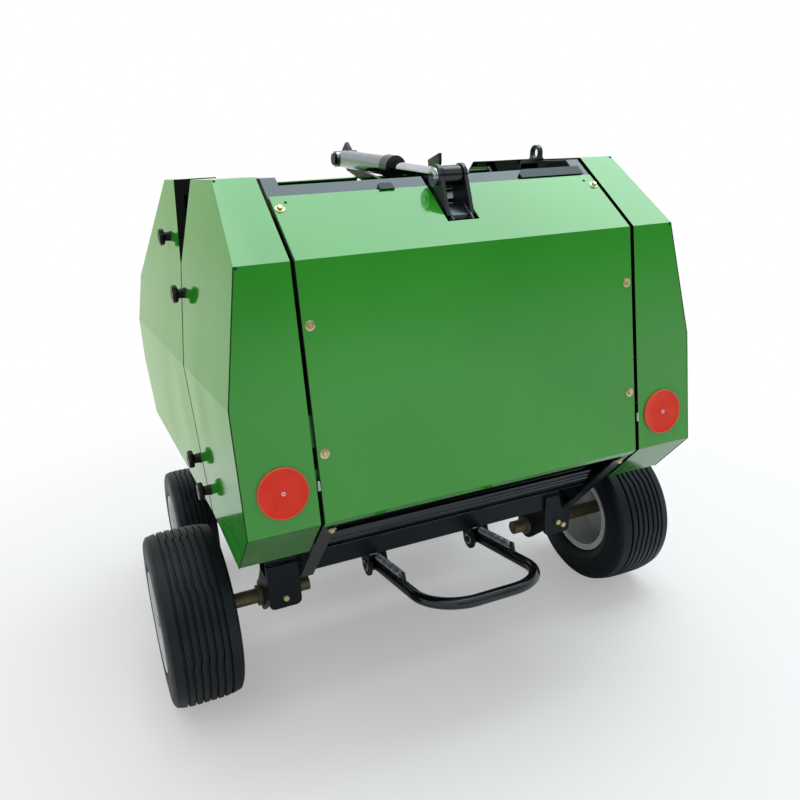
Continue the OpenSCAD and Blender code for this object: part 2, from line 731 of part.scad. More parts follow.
// Bale kicker
module kicker_bar() color(black) difference() {
    translate([0, kick_y, kick_z]) rotate([-kick_rise, 0, 0]) {
        pair() {
            translate([kick_x, 0, 0]) rotate([90, 0, 0]) cylinder(r = kick_r, h = kick_arm);
            x_bar(kick_x - 15, kick_x + 15, 0, 0, kick_r + 3);
            // spring lug on the arm
            yz([[-spring_y1 - 20, 0], [-spring_y1, 0], [-spring_y1, spring_h + 10],
                [-spring_y1 - 14, spring_h + 10]], kick_x - 3, kick_x + 3);
            translate([kick_x - kick_bend, -kick_arm, 0]) rotate([0, 0, 270])
                rotate_extrude(angle = 90) translate([kick_bend, 0]) circle(r = kick_r);
        }
        x_bar(kick_bend - kick_x, kick_x - kick_bend, -kick_arm - kick_bend, 0, kick_r);
    }
    pair() x_bar(kick_x - 40, kick_x + 40, kick_y, kick_z, kick_pin_r + 0.5);
}

spring_h = kick_r + 12;
spring_y0 = hook_back + hook_r + 0.3;
spring_y1 = 160;
coil_n = 20;
coil_p = (spring_y1 - spring_y0 - 0.3) / coil_n;
coil_in = 7;
coil_out = 9.5;
module kicker_springs() color(steel) pair() translate([kick_x, kick_y, kick_z]) rotate([-kick_rise, 0, 0])
    translate([0, -spring_y0, spring_h]) rotate([90, 0, 0]) rotate_extrude() polygon(concat([[0, 0]],
        [for (i = [0 : coil_n - 1]) each [[coil_in, i * coil_p], [coil_out, (i + 0.5) * coil_p]]],
        [[coil_in, coil_n * coil_p], [0, coil_n * coil_p]]));

// Wheels
groove_d = 7;
bead_t = 5;
module tyre(r, w, rim, ribs) {
    crown = w * 0.42;
    pitch = 2 * crown / (ribs - 0.4);
    bead = w * 0.40;
    // half of the section on side s, from the bead to the shoulder
    function flank(s) = [[rim - 11, s * bead], [rim + 1, s * bead], [rim + 6, s * w * 0.47],
        [rim + 0.45 * (r - rim), s * w / 2], [r - 16, s * w * 0.485], [r - 5, s * (crown + 3)]];
    function floor_r(i) = i == ribs - 1 ? r : r - groove_d;
    left = flank(-1);
    right = flank(1);
    rotate([0, 90, 0]) rotate_extrude($fn = 96) polygon(concat(left,
        [for (i = [0 : ribs - 1]) let (a = -crown + i * pitch) each [[r, a], [r, a + pitch * 0.6],
            [floor_r(i), a + pitch * 0.62], [floor_r(i), a + pitch * 0.98]]],
        [for (i = [len(right) - 1 : -1 : 0]) right[i]]));
}

module rim(r, w, disc, hub_r, bore, h0, h1) {
    bead = w * 0.40;
    drop = r - 11.5;
    well = drop - 4.5;
    dish = r * 0.62;
    rotate([0, 90, 0]) rotate_extrude($fn = 96) polygon([[bore, h0], [hub_r, h0], [hub_r, disc],
        [dish, disc - 3], [well, disc - 10], [well, -bead - 3], [drop, -bead - 3], [r, -bead - bead_t - 1],
        [r, -bead], [drop, -bead], [drop, bead], [r, bead], [r, bead + bead_t + 1], [drop, bead + 3],
        [well, bead + 3], [well, disc - 4], [dish, disc + 3], [hub_r, disc + 6], [hub_r, h1], [bore, h1]]);
}

module wheel_at(side) translate([side * track_x, axle_y, tyre_r]) mirror([side < 0 ? 1 : 0, 0, 0]) children();
module main_rim() rim(rim_r, tyre_w, 34, 36, spindle_r + 0.5, hub_x0 - track_x, hub_x1 - track_x);
module tyre_left() color(rubber) wheel_at(-1) tyre(tyre_r, tyre_w, rim_r, 7);
module tyre_right() color(rubber) wheel_at(1) tyre(tyre_r, tyre_w, rim_r, 7);
module rim_left() color(white) wheel_at(-1) main_rim();
module rim_right() color(white) wheel_at(1) main_rim();

gauge_rim_r = 90;
module gauge_at(side) translate([side * gauge_x, gauge_y, gauge_r])
    mirror([side < 0 ? 1 : 0, 0, 0]) children();
module gauge_rim() rim(gauge_rim_r, gauge_w, 12, 26, gauge_pin_r + 0.5, -gauge_w / 2 + 12, 30);
module gauge_tyre_left() color(rubber) gauge_at(-1) tyre(gauge_r, gauge_w, gauge_rim_r, 5);
module gauge_tyre_right() color(rubber) gauge_at(1) tyre(gauge_r, gauge_w, gauge_rim_r, 5);
module gauge_rim_left() color(white) gauge_at(-1) gauge_rim();
module gauge_rim_right() color(white) gauge_at(1) gauge_rim();

// Tailgate
lug_y = -154;
module gate_frame() color(black) {
    pair() difference() {
        union() {
            difference() {
                yz(inset(gate_poly, skin_t), half_w - flange_w, half_w);
                yz(inset(gate_poly, skin_t + flange_t), half_w - flange_w - 1, inner_w);
            }
            x_bar(inner_w, half_w, hinge_y, hinge_z, eye_r);
        }
        x_bar(half_w - flange_w - 5, half_w + 5, hinge_y, hinge_z, hinge_pin_r + 0.5);
        for (a = gate_angles) shaft_hole(a);
    }
    // upper cross tube
    block([-inner_w, gate_tube_y, gate_tube_z], [inner_w, gate_tube_y + gate_tube_s, gate_tube_z1]);
    // flat bar above the panel, open for the rod
    pair() intersection() {
        difference() {
            yz(inset(gate_poly, skin_t), slot_x, half_w - flange_w + 1);
            yz(inset(gate_poly, skin_t + flange_t), slot_x - 1, half_w);
        }
        block([0, panel_top_y + head_gap, bend_z], [half_w, panel_top_y + head_gap + head_w, top_z]);
    }
}
head_gap = 2;
head_w = 26;

// lifting eye on a foot plate, welded to the right-hand flange
lug_hole = 12;
lug_r = 18;
lug_w = 12;
lug_foot = 5;
module lifting_lug() color(black) difference() {
    foot_top = top_z - skin_t + lug_foot;
    eye_z = top_z + 15;
    union() {
        block([half_w - flange_w + 3, lug_y - lug_r - 5, top_z - skin_t],
            [half_w, lug_y + lug_r + 5, foot_top]);
        block([half_w - lug_w, lug_y - lug_r, foot_top - 1], [half_w, lug_y + lug_r, eye_z]);
        x_bar(half_w - lug_w, half_w, lug_y, eye_z, lug_r);
    }
    x_bar(half_w - lug_w - 5, half_w + 5, lug_y, eye_z, lug_hole);
    // the eye ends at the face of the flange
    block([0, lug_y - 2 * lug_r, top_z - 2 * lug_r], [half_w + 5, lug_y + 2 * lug_r, top_z - skin_t]);
}

module gate_panel() color(green) difference() {
    intersection() {
        difference() {
            yz(gate_poly, -half_w + 1, half_w - 1);
            yz(inset(gate_poly, skin_t), -half_w, half_w);
        }
        block([-900, -900, tail_z - 14], [900, panel_top_y, 1300]);
    }
    block([-slot_x, panel_top_y - slot_len, 1000], [slot_x, panel_top_y + 1, 1300]);
}

reflector_t = 5;
rivet_r = 5;
module gate_reflectors() color([0.85, 0.2, 0.1]) pair()
    translate([reflector_x, tail_y + (reflector_z - tail_z) * tan(rear_lean), reflector_z])
        rotate([90 - rear_lean, 0, 0]) {
            cylinder(r = reflector_r, h = reflector_t);
            cylinder(r = rivet_r, h = reflector_t + 2);
        }

// two round-topped plates on the cross tube, joined by a strip under the slot
bracket_r = 23;
bracket_heel = 48;
bracket_toe = 26;
strip_y = panel_top_y - slot_len + 14;
strip_drop = 2;
strip_t = 6;
module gate_bracket() color(black) {
    pair() difference() {
        union() {
            yz([[gate_tube_y, gate_tube_z + 8], [gate_tube_y, gate_tube_z1],
                [gate_tube_y + gate_tube_s, gate_tube_z1], [rod_pin_y + bracket_r, rod_pin_z],
                [rod_pin_y - bracket_r, rod_pin_z],
                [rod_pin_y - bracket_heel, slope_z(rod_pin_y - bracket_heel)],
                [gate_tube_y - bracket_toe, gate_tube_z + 8]], bracket_in, bracket_in + bracket_t);
            x_bar(bracket_in, bracket_in + bracket_t, rod_pin_y, rod_pin_z, bracket_r);
        }
        x_bar(0, 80, rod_pin_y, rod_pin_z, rod_eye_hole);
    }
    intersection() {
        difference() {
            yz(inset(gate_poly, strip_drop), -bracket_in - 1, bracket_in + 1);
            yz(inset(gate_poly, strip_drop + strip_t), -bracket_in - 2, bracket_in + 2);
        }
        block([-100, strip_y, bend_z - 50], [100, gate_tube_y - 3, top_z]);
    }
}

// Cylinder, drawn along -Y from the barrel pin
module along_cylinder() translate([0, barrel_pin_y, barrel_pin_z]) rotate([-cyl_tilt, 0, 0]) children();
module back_bar(from, to, r) rotate([90, 0, 0]) translate([0, 0, from]) cylinder(r = r, h = to - from);
gland_at = cyl_len - rod_out;
gland_len = 40;
gland_r = barrel_r + 3.5;
port_r = 8;
port_len = 12;
port_at = [110, gland_at - gland_len - 22];
module cylinder_barrel() color(steel) along_cylinder() difference() {
    union() {
        back_bar(cyl_eye_r - 3, gland_at - gland_len + 1, barrel_r);
        back_bar(gland_at - gland_len, gland_at, gland_r);
        x_bar(-barrel_eye_w / 2, barrel_eye_w / 2, 0, 0, cyl_eye_r);
        // oil ports
        for (y = port_at) x_bar(barrel_r - 3, barrel_r + port_len, -y, 0, port_r);
    }
    x_bar(-50, 50, 0, 0, cyl_pin_r + 0.4);
    back_bar(bore_from, gland_at + 50, rod_r + 0.5);
}

module cylinder_rod() color(steel) along_cylinder() {
    back_bar(rod_from, cyl_len, rod_r);
    x_bar(-rod_eye_w / 2, rod_eye_w / 2, -cyl_len, 0, cyl_eye_r);
    x_bar(-bracket_in - bracket_t - 8, bracket_in + bracket_t + 8, -cyl_len, 0, cyl_pin_r);
    pair() x_bar(bracket_in + bracket_t + 0.4, bracket_in + bracket_t + 5, -cyl_len, 0, rod_eye_hole + 2);
}

// the origin is under the middle of the machine
shift_y = -(max(link_front, shaft_y1) + rear_end) / 2;
translate([0, shift_y, 0]) {
    chassis_beam();
    axle_clamps();
    axle_tubes();
    front_frame();
    front_cover_left();
    front_cover_right();
    front_hood();
    cylinder_mount();
    hitch_beam();
    hitch_mast();
    gearbox();
    input_shaft();
    pickup_frame();
    pickup_reel();
    front_knobs();
    kicker_bar();
    kicker_springs();
    front_roller_1();
    front_roller_2();
    front_roller_3();
    front_roller_4();
    front_roller_5();
    tyre_left();
    rim_left();
    tyre_right();
    rim_right();
    gauge_tyre_left();
    gauge_rim_left();
    gauge_tyre_right();
    gauge_rim_right();
    gate_frame();
    lifting_lug();
    gate_panel();
    gate_cover_left();
    gate_cover_right();
    gate_reflectors();
    gate_bracket();
    gate_knobs();
    gate_roller_1();
    gate_roller_2();
    gate_roller_3();
    gate_roller_4();
    gate_roller_5();
    cylinder_barrel();
    cylinder_rod();
}
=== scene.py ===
"""Round baler: finishes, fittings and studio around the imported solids. Metres, X right, Y forward, Z up."""

import json
import math

import bpy
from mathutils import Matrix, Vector


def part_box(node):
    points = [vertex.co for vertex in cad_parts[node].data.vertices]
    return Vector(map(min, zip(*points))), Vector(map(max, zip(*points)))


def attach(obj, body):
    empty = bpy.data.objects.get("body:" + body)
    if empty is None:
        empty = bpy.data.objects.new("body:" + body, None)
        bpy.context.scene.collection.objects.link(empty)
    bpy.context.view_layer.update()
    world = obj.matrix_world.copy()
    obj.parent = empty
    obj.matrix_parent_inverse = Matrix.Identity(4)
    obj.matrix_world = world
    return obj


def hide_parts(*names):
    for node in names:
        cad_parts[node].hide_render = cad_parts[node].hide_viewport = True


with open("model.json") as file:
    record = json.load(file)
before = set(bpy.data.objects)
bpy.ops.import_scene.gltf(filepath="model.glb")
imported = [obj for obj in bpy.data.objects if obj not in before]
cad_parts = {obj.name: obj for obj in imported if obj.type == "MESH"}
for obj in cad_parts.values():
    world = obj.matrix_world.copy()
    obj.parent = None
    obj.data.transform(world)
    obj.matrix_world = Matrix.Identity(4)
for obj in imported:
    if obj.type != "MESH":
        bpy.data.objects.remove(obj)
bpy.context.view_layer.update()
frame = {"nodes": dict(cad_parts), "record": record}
nodes = frame["nodes"]
MM = 0.001

# Sizes of the drawing, in millimetres; its origin is on the ground under the middle of the machine
HALF_W = 368.0
SIDE_W = 517.0
FOLD_Z = 796.0
SIDE_LEAN = math.radians(10.2)
SIDE_FLARE = math.radians(2.4)
TOP_REAR = (-300.1, 1177.0)
BEND = (-481.0, 1038.0)
TAIL = (-547.0, 558.0)
FLAP = (-453.7, 453.6)
NOSE_TOP = (450.0, 920.0)
TOP_FRONT = (159.8, 1177.0)
AXLE = (-176.0, 203.0)
GAUGE_AXLE = (372.0, 165.0)
TRACK_X = 594.5
GAUGE_X = 500.0
KICK_PIN = (145.0, -243.0, 250.0)
KICK_RISE = math.radians(9.7)
BARREL_PIN = (197.0, 1203.0)
ROD_PIN = (-370.0, 1159.0)
REEL = (330.0, 262.0)
GATE_KNOBS = ((-122, 947), (-274, 551))
FRONT_KNOBS = ((56, 1053), (-206, 600))
# Radius, width and rim radius of the tyres
MAIN_TYRE = (203.0, 163.0, 115.0)
GAUGE_TYRE = (165.0, 112.0, 90.0)
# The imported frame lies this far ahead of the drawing
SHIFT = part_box("gate_panel")[0][1] - TAIL[0] * MM


def spot(x, y, z):
    """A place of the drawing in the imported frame."""
    return Vector((x * MM, y * MM + SHIFT, z * MM))


def side_x(y, z):
    """Half width of the covers at a height and a distance forward."""
    width = SIDE_W - max(0.0, z - FOLD_Z) * math.tan(SIDE_LEAN)
    along = (y - TAIL[0] + width * math.sin(SIDE_FLARE)) / math.cos(SIDE_FLARE)
    return width * math.cos(SIDE_FLARE) + along * math.sin(SIDE_FLARE)


def face_normal(low, high):
    """Outward normal of a rear face that runs from low to high in (y, z)."""
    along = Vector((0, high[0] - low[0], high[1] - low[1])).normalized()
    return Vector((0, -along.z, along.y))


def on_line(low, high, z):
    """y at a height on the straight line between two (y, z) points."""
    return low[0] + (z - low[1]) * (high[0] - low[0]) / (high[1] - low[1])


def slope_z(y):
    """Height of the upper rear slope."""
    return BEND[1] + (y - BEND[0]) * (TOP_REAR[1] - BEND[1]) / (TOP_REAR[0] - BEND[0])


SIDES = (-1, 1)
RIGHTWARD = Vector((1, 0, 0))
LEFTWARD = Vector((-1, 0, 0))
FORWARD = Vector((0, 1, 0))
REARWARD = Vector((0, -1, 0))
UPWARD = Vector((0, 0, 1))
DOWNWARD = Vector((0, 0, -1))
SLOPE_OUT = face_normal(BEND, TOP_REAR)
REAR_OUT = face_normal(TAIL, BEND)
FLAP_OUT = face_normal(FLAP, TAIL)
CYLINDER_WAY = Vector((0, ROD_PIN[0] - BARREL_PIN[0], ROD_PIN[1] - BARREL_PIN[1])).normalized()


# Shader maths
class Field:
    """One output socket of a finish; arithmetic on it adds Math nodes."""

    def __init__(self, finish, socket):
        self.finish = finish
        self.socket = socket

    def math(self, operation, *terms):
        return self.finish.node("ShaderNodeMath", {"operation": operation}, dict(enumerate(terms)))

    def __add__(self, other):
        return self.math("ADD", self, other)

    def __radd__(self, other):
        return self.math("ADD", other, self)

    def __sub__(self, other):
        return self.math("SUBTRACT", self, other)

    def __rsub__(self, other):
        return self.math("SUBTRACT", other, self)

    def __mul__(self, other):
        return self.math("MULTIPLY", self, other)

    def __rmul__(self, other):
        return self.math("MULTIPLY", other, self)

    def __abs__(self):
        return self.math("ABSOLUTE", self)

    def over(self, other):
        """The greater of two values."""
        return self.math("MAXIMUM", self, other)

    def under(self, other):
        """The lesser of two values."""
        return self.math("MINIMUM", self, other)

    def sine(self):
        return self.math("SINE", self)

    def ramp(self, low, high):
        """Runs smoothly from 0 to 1 as the value goes from low to high, which may be the lesser."""
        sockets = {0: self, 1: low, 2: high}
        return self.finish.node("ShaderNodeMapRange", {"interpolation_type": "SMOOTHSTEP"}, sockets)


class Finish:
    """A material's node tree. What varies over the surface is written with fields."""

    def __init__(self, name, **constants):
        self.material = bpy.data.materials.new(name)
        self.material.use_nodes = True
        self.tree = self.material.node_tree
        self.shader = self.tree.nodes["Principled BSDF"]
        self.set(**constants)
        self.place = self.node("ShaderNodeTexCoord", out="Object")

    def feed(self, socket, value):
        if isinstance(value, Field):
            self.tree.links.new(value.socket, socket)
        else:
            socket.default_value = value

    def node(self, kind, settings=None, sockets=None, out=0):
        """Adds a node: its settings first, then the values or links of its sockets."""
        made = self.tree.nodes.new(kind)
        for name, value in (settings or {}).items():
            setattr(made, name, value)
        for key, value in (sockets or {}).items():
            self.feed(made.inputs[key], value)
        return Field(self, made.outputs[out])

    def set(self, **sockets):
        """Feeds the shader: base_color is the socket Base Color, and so on."""
        for name, value in sockets.items():
            self.feed(self.shader.inputs[name.replace("_", " ").title().replace("Ior", "IOR")], value)

    def noise(self, scale, detail=3.0, rough=0.5, place=None):
        sockets = {"Vector": place or self.place, "Scale": scale, "Detail": detail, "Roughness": rough}
        return self.node("ShaderNodeTexNoise", None, sockets, out="Fac")

    def mix(self, factor, first, second):
        """A colour between two colours."""
        sockets = {0: factor, 6: first, 7: second}
        return self.node("ShaderNodeMix", {"data_type": "RGBA"}, sockets, out=2)

    def axis(self, letter):
        return self.node("ShaderNodeSeparateXYZ", None, {0: self.place}, out=letter)

    def stretched(self, x, y, z):
        """The place scaled by a factor on each axis."""
        return self.node("ShaderNodeVectorMath", {"operation": "MULTIPLY"}, {0: self.place, 1: (x, y, z)})

    def away(self, point):
        """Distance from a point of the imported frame."""
        settings = {"operation": "DISTANCE"}
        return self.node("ShaderNodeVectorMath", settings, {0: self.place, 1: tuple(point)}, out="Value")

    def along(self, point, direction):
        """Distance from a point, measured along a direction."""
        gap = self.node("ShaderNodeVectorMath", {"operation": "SUBTRACT"}, {0: self.place, 1: tuple(point)})
        settings = {"operation": "DOT_PRODUCT"}
        return self.node("ShaderNodeVectorMath", settings, {0: gap, 1: tuple(direction)}, out="Value")

    def facing(self, direction):
        """Runs from -1 to 1 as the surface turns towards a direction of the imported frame."""
        normal = self.node("ShaderNodeTexCoord", out="Normal")
        settings = {"operation": "DOT_PRODUCT"}
        return self.node("ShaderNodeVectorMath", settings, {0: normal, 1: tuple(direction)}, out="Value")

    def bump(self, height, depth, strength):
        """Relief of that depth in metres where height runs from 0 to 1."""
        sockets = {"Height": height, "Distance": depth, "Strength": strength}
        self.set(normal=self.node("ShaderNodeBump", None, sockets))


def rgb(red, green, blue):
    """A linear colour from eight-bit display values."""
    def linear(value):
        value = value / 255
        return value / 12.92 if value <= 0.04045 else ((value + 0.055) / 1.055) ** 2.4
    return (linear(red), linear(green), linear(blue), 1.0)


# Finishes
GREEN = rgb(47, 164, 38)
GREEN_DEEP = rgb(39, 152, 31)
# Darker green of painted shade for the folds that look down and back
GREEN_FOLD_SHADE = rgb(30, 108, 18)
DUST = rgb(150, 140, 120)
BLACK = rgb(14, 17, 21)
BLACK_WORN = rgb(24, 28, 33)
# Near-black painted shade for the inner faces of the covers
INNER_SHADE_COLOUR = rgb(9, 14, 9)
BLUE_SHEEN = (0.78, 0.92, 1.0, 1.0)


def green_paint(name, creases=(), inner_shade_faces=(), fold_shade_colour=GREEN_FOLD_SHADE):
    """Glossy enamel on sheet: orange peel, slow waves, dents, dust low down, and a darker green of painted
    shade on the folds that look down and back.

    The third argument lists faces inside the sheet that get a dark painted shade: the way they look, the
    height where that starts.
    """
    f = Finish(name, specular_ior_level=0.62)
    cloud = f.noise(2.2, 4.0)
    smear = f.noise(14.0, 5.0, 0.6)
    dust = smear.ramp(0.45, 0.75) * f.axis("Z").ramp(0.75, 0.45) * 0.12
    paint = f.mix(cloud.ramp(0.3, 0.7), GREEN_DEEP, GREEN)
    # Painted shade: faces that look down and back, such as the flaps and the hem, get a darker green
    shaded_fold_mask = f.facing(FLAP_OUT).ramp(0.8, 0.95)
    paint = f.mix(shaded_fold_mask, paint, fold_shade_colour)
    colour = f.mix(dust, paint, DUST)
    rough = 0.07 + smear.ramp(0.35, 0.8) * 0.05 + dust * 0.6
    shaded_inside_mask = 0.0
    # Painted shade: inner faces, and rear faces in the notch, are painted near black, rough and metallic, so
    # that they stay dark
    for direction, above in inner_shade_faces:
        inside = f.facing(direction).ramp(0.35, 0.5) * f.axis("Z").ramp(above - 0.01, above)
        shaded_inside_mask = inside + shaded_inside_mask - inside * shaded_inside_mask
    if inner_shade_faces:
        colour = f.mix(shaded_inside_mask, colour, INNER_SHADE_COLOUR)
        rough = rough + shaded_inside_mask * 0.6
        f.set(metallic=shaded_inside_mask)
    f.set(base_color=colour, roughness=rough)
    waves = f.noise(4.0, 1.0)
    peel = f.noise(420.0, 1.0)
    height = waves + peel * 0.012
    for point, reach, depth in creases:
        height = height - f.away(point).ramp(reach, 0.0) * depth
    f.bump(height, 1.5 * MM, 0.4)
    return f.material


def black_paint(name, sheen, rough):
    """Blue-black enamel on plate and tube."""
    f = Finish(name, specular_ior_level=sheen, specular_tint=BLUE_SHEEN)
    cloud = f.noise(7.0, 5.0, 0.6)
    grit = f.noise(60.0, 4.0, 0.65)
    dust = grit.ramp(0.58, 0.85) * f.axis("Z").ramp(0.6, 0.2) * 0.2
    f.set(base_color=f.mix(dust, f.mix(cloud.ramp(0.3, 0.7), BLACK, BLACK_WORN), rgb(110, 104, 92)))
    f.set(roughness=rough + cloud.ramp(0.4, 0.75) * 0.1 + dust * 0.8)
    f.bump(f.noise(22.0, 2.0) + f.noise(260.0, 1.0) * 0.06, 0.6 * MM, 0.4)
    return f.material


def plain(name, colour, other, rough, metallic=0.0, scale=30.0, depth=0.1 * MM, **constants):
    """A finish of two near colours with soft speckle in colour, gloss and relief."""
    f = Finish(name, metallic=metallic, **constants)
    speck = f.noise(scale, 4.0, 0.6)
    f.set(base_color=f.mix(speck.ramp(0.35, 0.7), colour, other))
    f.set(roughness=rough + speck.ramp(0.3, 0.75) * 0.12)
    f.bump(f.noise(scale * 6, 3.0), depth, 0.5)
    return f.material


def cylinder_finish(name, metal, other, rough, black_from, black_to, half_width):
    """Bright steel along the cylinder, with black enamel between two distances from the barrel pin.

    What stands out past half_width, such as the head of a pin, stays bright.
    """
    f = Finish(name)
    reach = f.along(spot(0, *BARREL_PIN), CYLINDER_WAY)
    edge = 0.5 * MM
    black = reach.ramp(black_from * MM - edge, black_from * MM + edge)
    black = black * reach.ramp(black_to * MM + edge, black_to * MM - edge)
    black = black * abs(f.axis("X")).ramp(half_width * MM + edge, half_width * MM - edge)
    grain = f.noise(30.0, 3.0, 0.6, f.stretched(6.0, 1.0, 6.0))
    f.set(base_color=f.mix(black, f.mix(grain.ramp(0.3, 0.7), metal, other), BLACK))
    f.set(metallic=1.0 - black)
    f.set(roughness=rough + grain * 0.06 + black * 0.1)
    f.bump(f.noise(60.0, 2.0), 0.03 * MM, 0.3)
    return f.material


def tyre_rubber():
    """Blue-black rubber, matt and dusty in the grooves and on the sidewall."""
    f = Finish("tyre_rubber", specular_ior_level=0.3, specular_tint=BLUE_SHEEN)
    cloud = f.noise(9.0, 5.0, 0.65)
    grit = f.noise(130.0, 3.0, 0.6)
    dusty = cloud.ramp(0.45, 0.75) * grit.ramp(0.4, 0.7) * 0.25
    f.set(base_color=f.mix(dusty, f.mix(cloud, rgb(9, 13, 18), rgb(16, 21, 27)), rgb(52, 54, 56)))
    f.set(roughness=0.42 + cloud.ramp(0.3, 0.7) * 0.16)
    f.bump(grit + f.noise(30.0, 3.0) * 0.8, 0.25 * MM, 0.6)
    return f.material


def reflector_centre(side):
    """Centre of a reflector on the rear strip of the cover, on its face."""
    x, z = 441.0, 633.0
    return spot(side * x, on_line(TAIL, BEND, z), z)


def reflector_lens():
    """Red lens with fine rings of prisms under a smooth face, and a paler ring of painted highlight on its
    turned edge.
    """
    f = Finish("reflector_lens", specular_ior_level=0.22)
    ring = f.away(reflector_centre(-1)).under(f.away(reflector_centre(1)))
    # Painted highlight: the turned edge of each lens is paler all round
    edge = ring.ramp(46.6 * MM, 48.2 * MM)
    cloud = f.noise(40.0, 3.0)
    lens = f.mix(cloud.ramp(0.3, 0.7), rgb(238, 50, 28), rgb(245, 58, 35))
    f.set(base_color=f.mix(edge, lens, rgb(236, 104, 66)))
    f.set(roughness=0.2 + cloud * 0.08)
    prisms = (ring * 2600.0).sine()
    f.bump(prisms, 0.05 * MM, 0.25)
    return f.material


# Each dent of the left side sheet: y, z, reach in metres, depth
SIDE_DENTS = [(spot(-side_x(y, z), y, z), reach, depth) for y, z, reach, depth in (
    (-330, 742, 0.10, 2.0),
    (-167, 711, 0.13, 3.0),
    (27, 660, 0.16, 3.0),
    (-40, 860, 0.22, 2.0),
    (-400, 850, 0.2, 1.4),
)]
zinc = plain("yellow_zinc", rgb(186, 174, 126), rgb(206, 198, 160), 0.26, metallic=0.85, scale=90.0)
bright_rivet = plain("bright_rivet", rgb(222, 223, 222), rgb(238, 238, 236), 0.3, scale=200.0)
# Near-black green of the painted shadow in the cover seams and the painted shade of their relief holes
seam_shade_finish = plain("seam_shadow", rgb(10, 52, 9), rgb(16, 66, 14), 0.6, scale=60.0, specular_ior_level=0.2)
finishes = {
    "green_paint": green_paint("green_enamel"),
    "black_paint": black_paint("black_enamel", 0.5, 0.16),
    "roller_paint": plain("roller_enamel", rgb(13, 16, 20), rgb(22, 26, 31), 0.16, scale=14.0, depth=0.2 * MM,
                          specular_tint=BLUE_SHEEN),
    "olive_steel": plain("olive_axle", rgb(96, 90, 66), rgb(120, 112, 84), 0.45, metallic=0.5),
    "gearbox_paint": plain("cast_housing", rgb(96, 100, 103), rgb(118, 121, 123), 0.5, scale=90.0,
                           depth=0.4 * MM),
    "steel": plain("drawn_steel", rgb(150, 156, 160), rgb(175, 180, 184), 0.24, metallic=0.9),
    "spring_steel": plain("spring_steel", rgb(176, 180, 184), rgb(200, 203, 206), 0.22, metallic=0.7,
                          scale=60.0),
    "chrome": cylinder_finish("rod_chrome", rgb(178, 185, 191), rgb(190, 196, 202), 0.05,
                              black_from=546.0, black_to=600.0, half_width=21.0),
    "tyre": tyre_rubber(),
    "rim_white": plain("rim_enamel", rgb(206, 208, 208), rgb(224, 225, 224), 0.28, scale=20.0),
    "reflector_red": reflector_lens(),
    "knob_black": plain("knob_plastic", rgb(6, 7, 8), rgb(11, 12, 14), 0.16, scale=120.0,
                        specular_ior_level=0.16),
}
# Heights in metres where the painted shade on the inner faces starts: everywhere, and in the notch only
GROUND = 0.0
NOTCH_LOW = 1.01
satin_black = black_paint("black_satin", 0.2, 0.32)
# Finishes of single nodes, in place of their slot's
own_finish = {
    "axle_clamps": satin_black,
    "chassis_beam": satin_black,
    "cylinder_mount": satin_black,
    # The panel's hem gets a milder painted shade than the covers' flaps
    "gate_panel": green_paint("green_enamel_panel", fold_shade_colour=rgb(46, 138, 34)),
    # The covers' inner faces, and the front covers' rear lips seen in the notch, get a near-black painted
    # shade
    "gate_cover_left": green_paint("green_enamel_rear_left", SIDE_DENTS, [(RIGHTWARD, GROUND)]),
    "gate_cover_right": green_paint("green_enamel_rear_right", (), [(LEFTWARD, GROUND)]),
    "front_cover_left": green_paint("green_enamel_front_left", SIDE_DENTS,
                                    [(RIGHTWARD, GROUND), (REARWARD, NOTCH_LOW)]),
    "front_cover_right": green_paint("green_enamel_front_right", (),
                                     [(LEFTWARD, GROUND), (REARWARD, NOTCH_LOW)]),
    "cylinder_barrel": cylinder_finish("barrel_steel", rgb(122, 130, 137), rgb(133, 141, 148), 0.13,
                                       black_from=284.0, black_to=326.0, half_width=60.0),
}


def soften(node):
    """Rounds the sharp edges of a solid a little, so that they catch the light."""
    join = node.modifiers.new("join", "WELD")
    join.merge_threshold = 0.02 * MM
    round_edge = node.modifiers.new("round_edge", "BEVEL")
    round_edge.width = 1.2 * MM
    round_edge.segments = 2
    round_edge.limit_method = "ANGLE"
    round_edge.angle_limit = math.radians(28)
    even = node.modifiers.new("even", "WEIGHTED_NORMAL")
    even.keep_sharp = True


for part in frame["record"]["subparts"]:
    node = nodes[part["node"]]
    node.data.materials.clear()
    node.data.materials.append(own_finish.get(part["node"], finishes[part["material_slot"]]))
    soften(node)


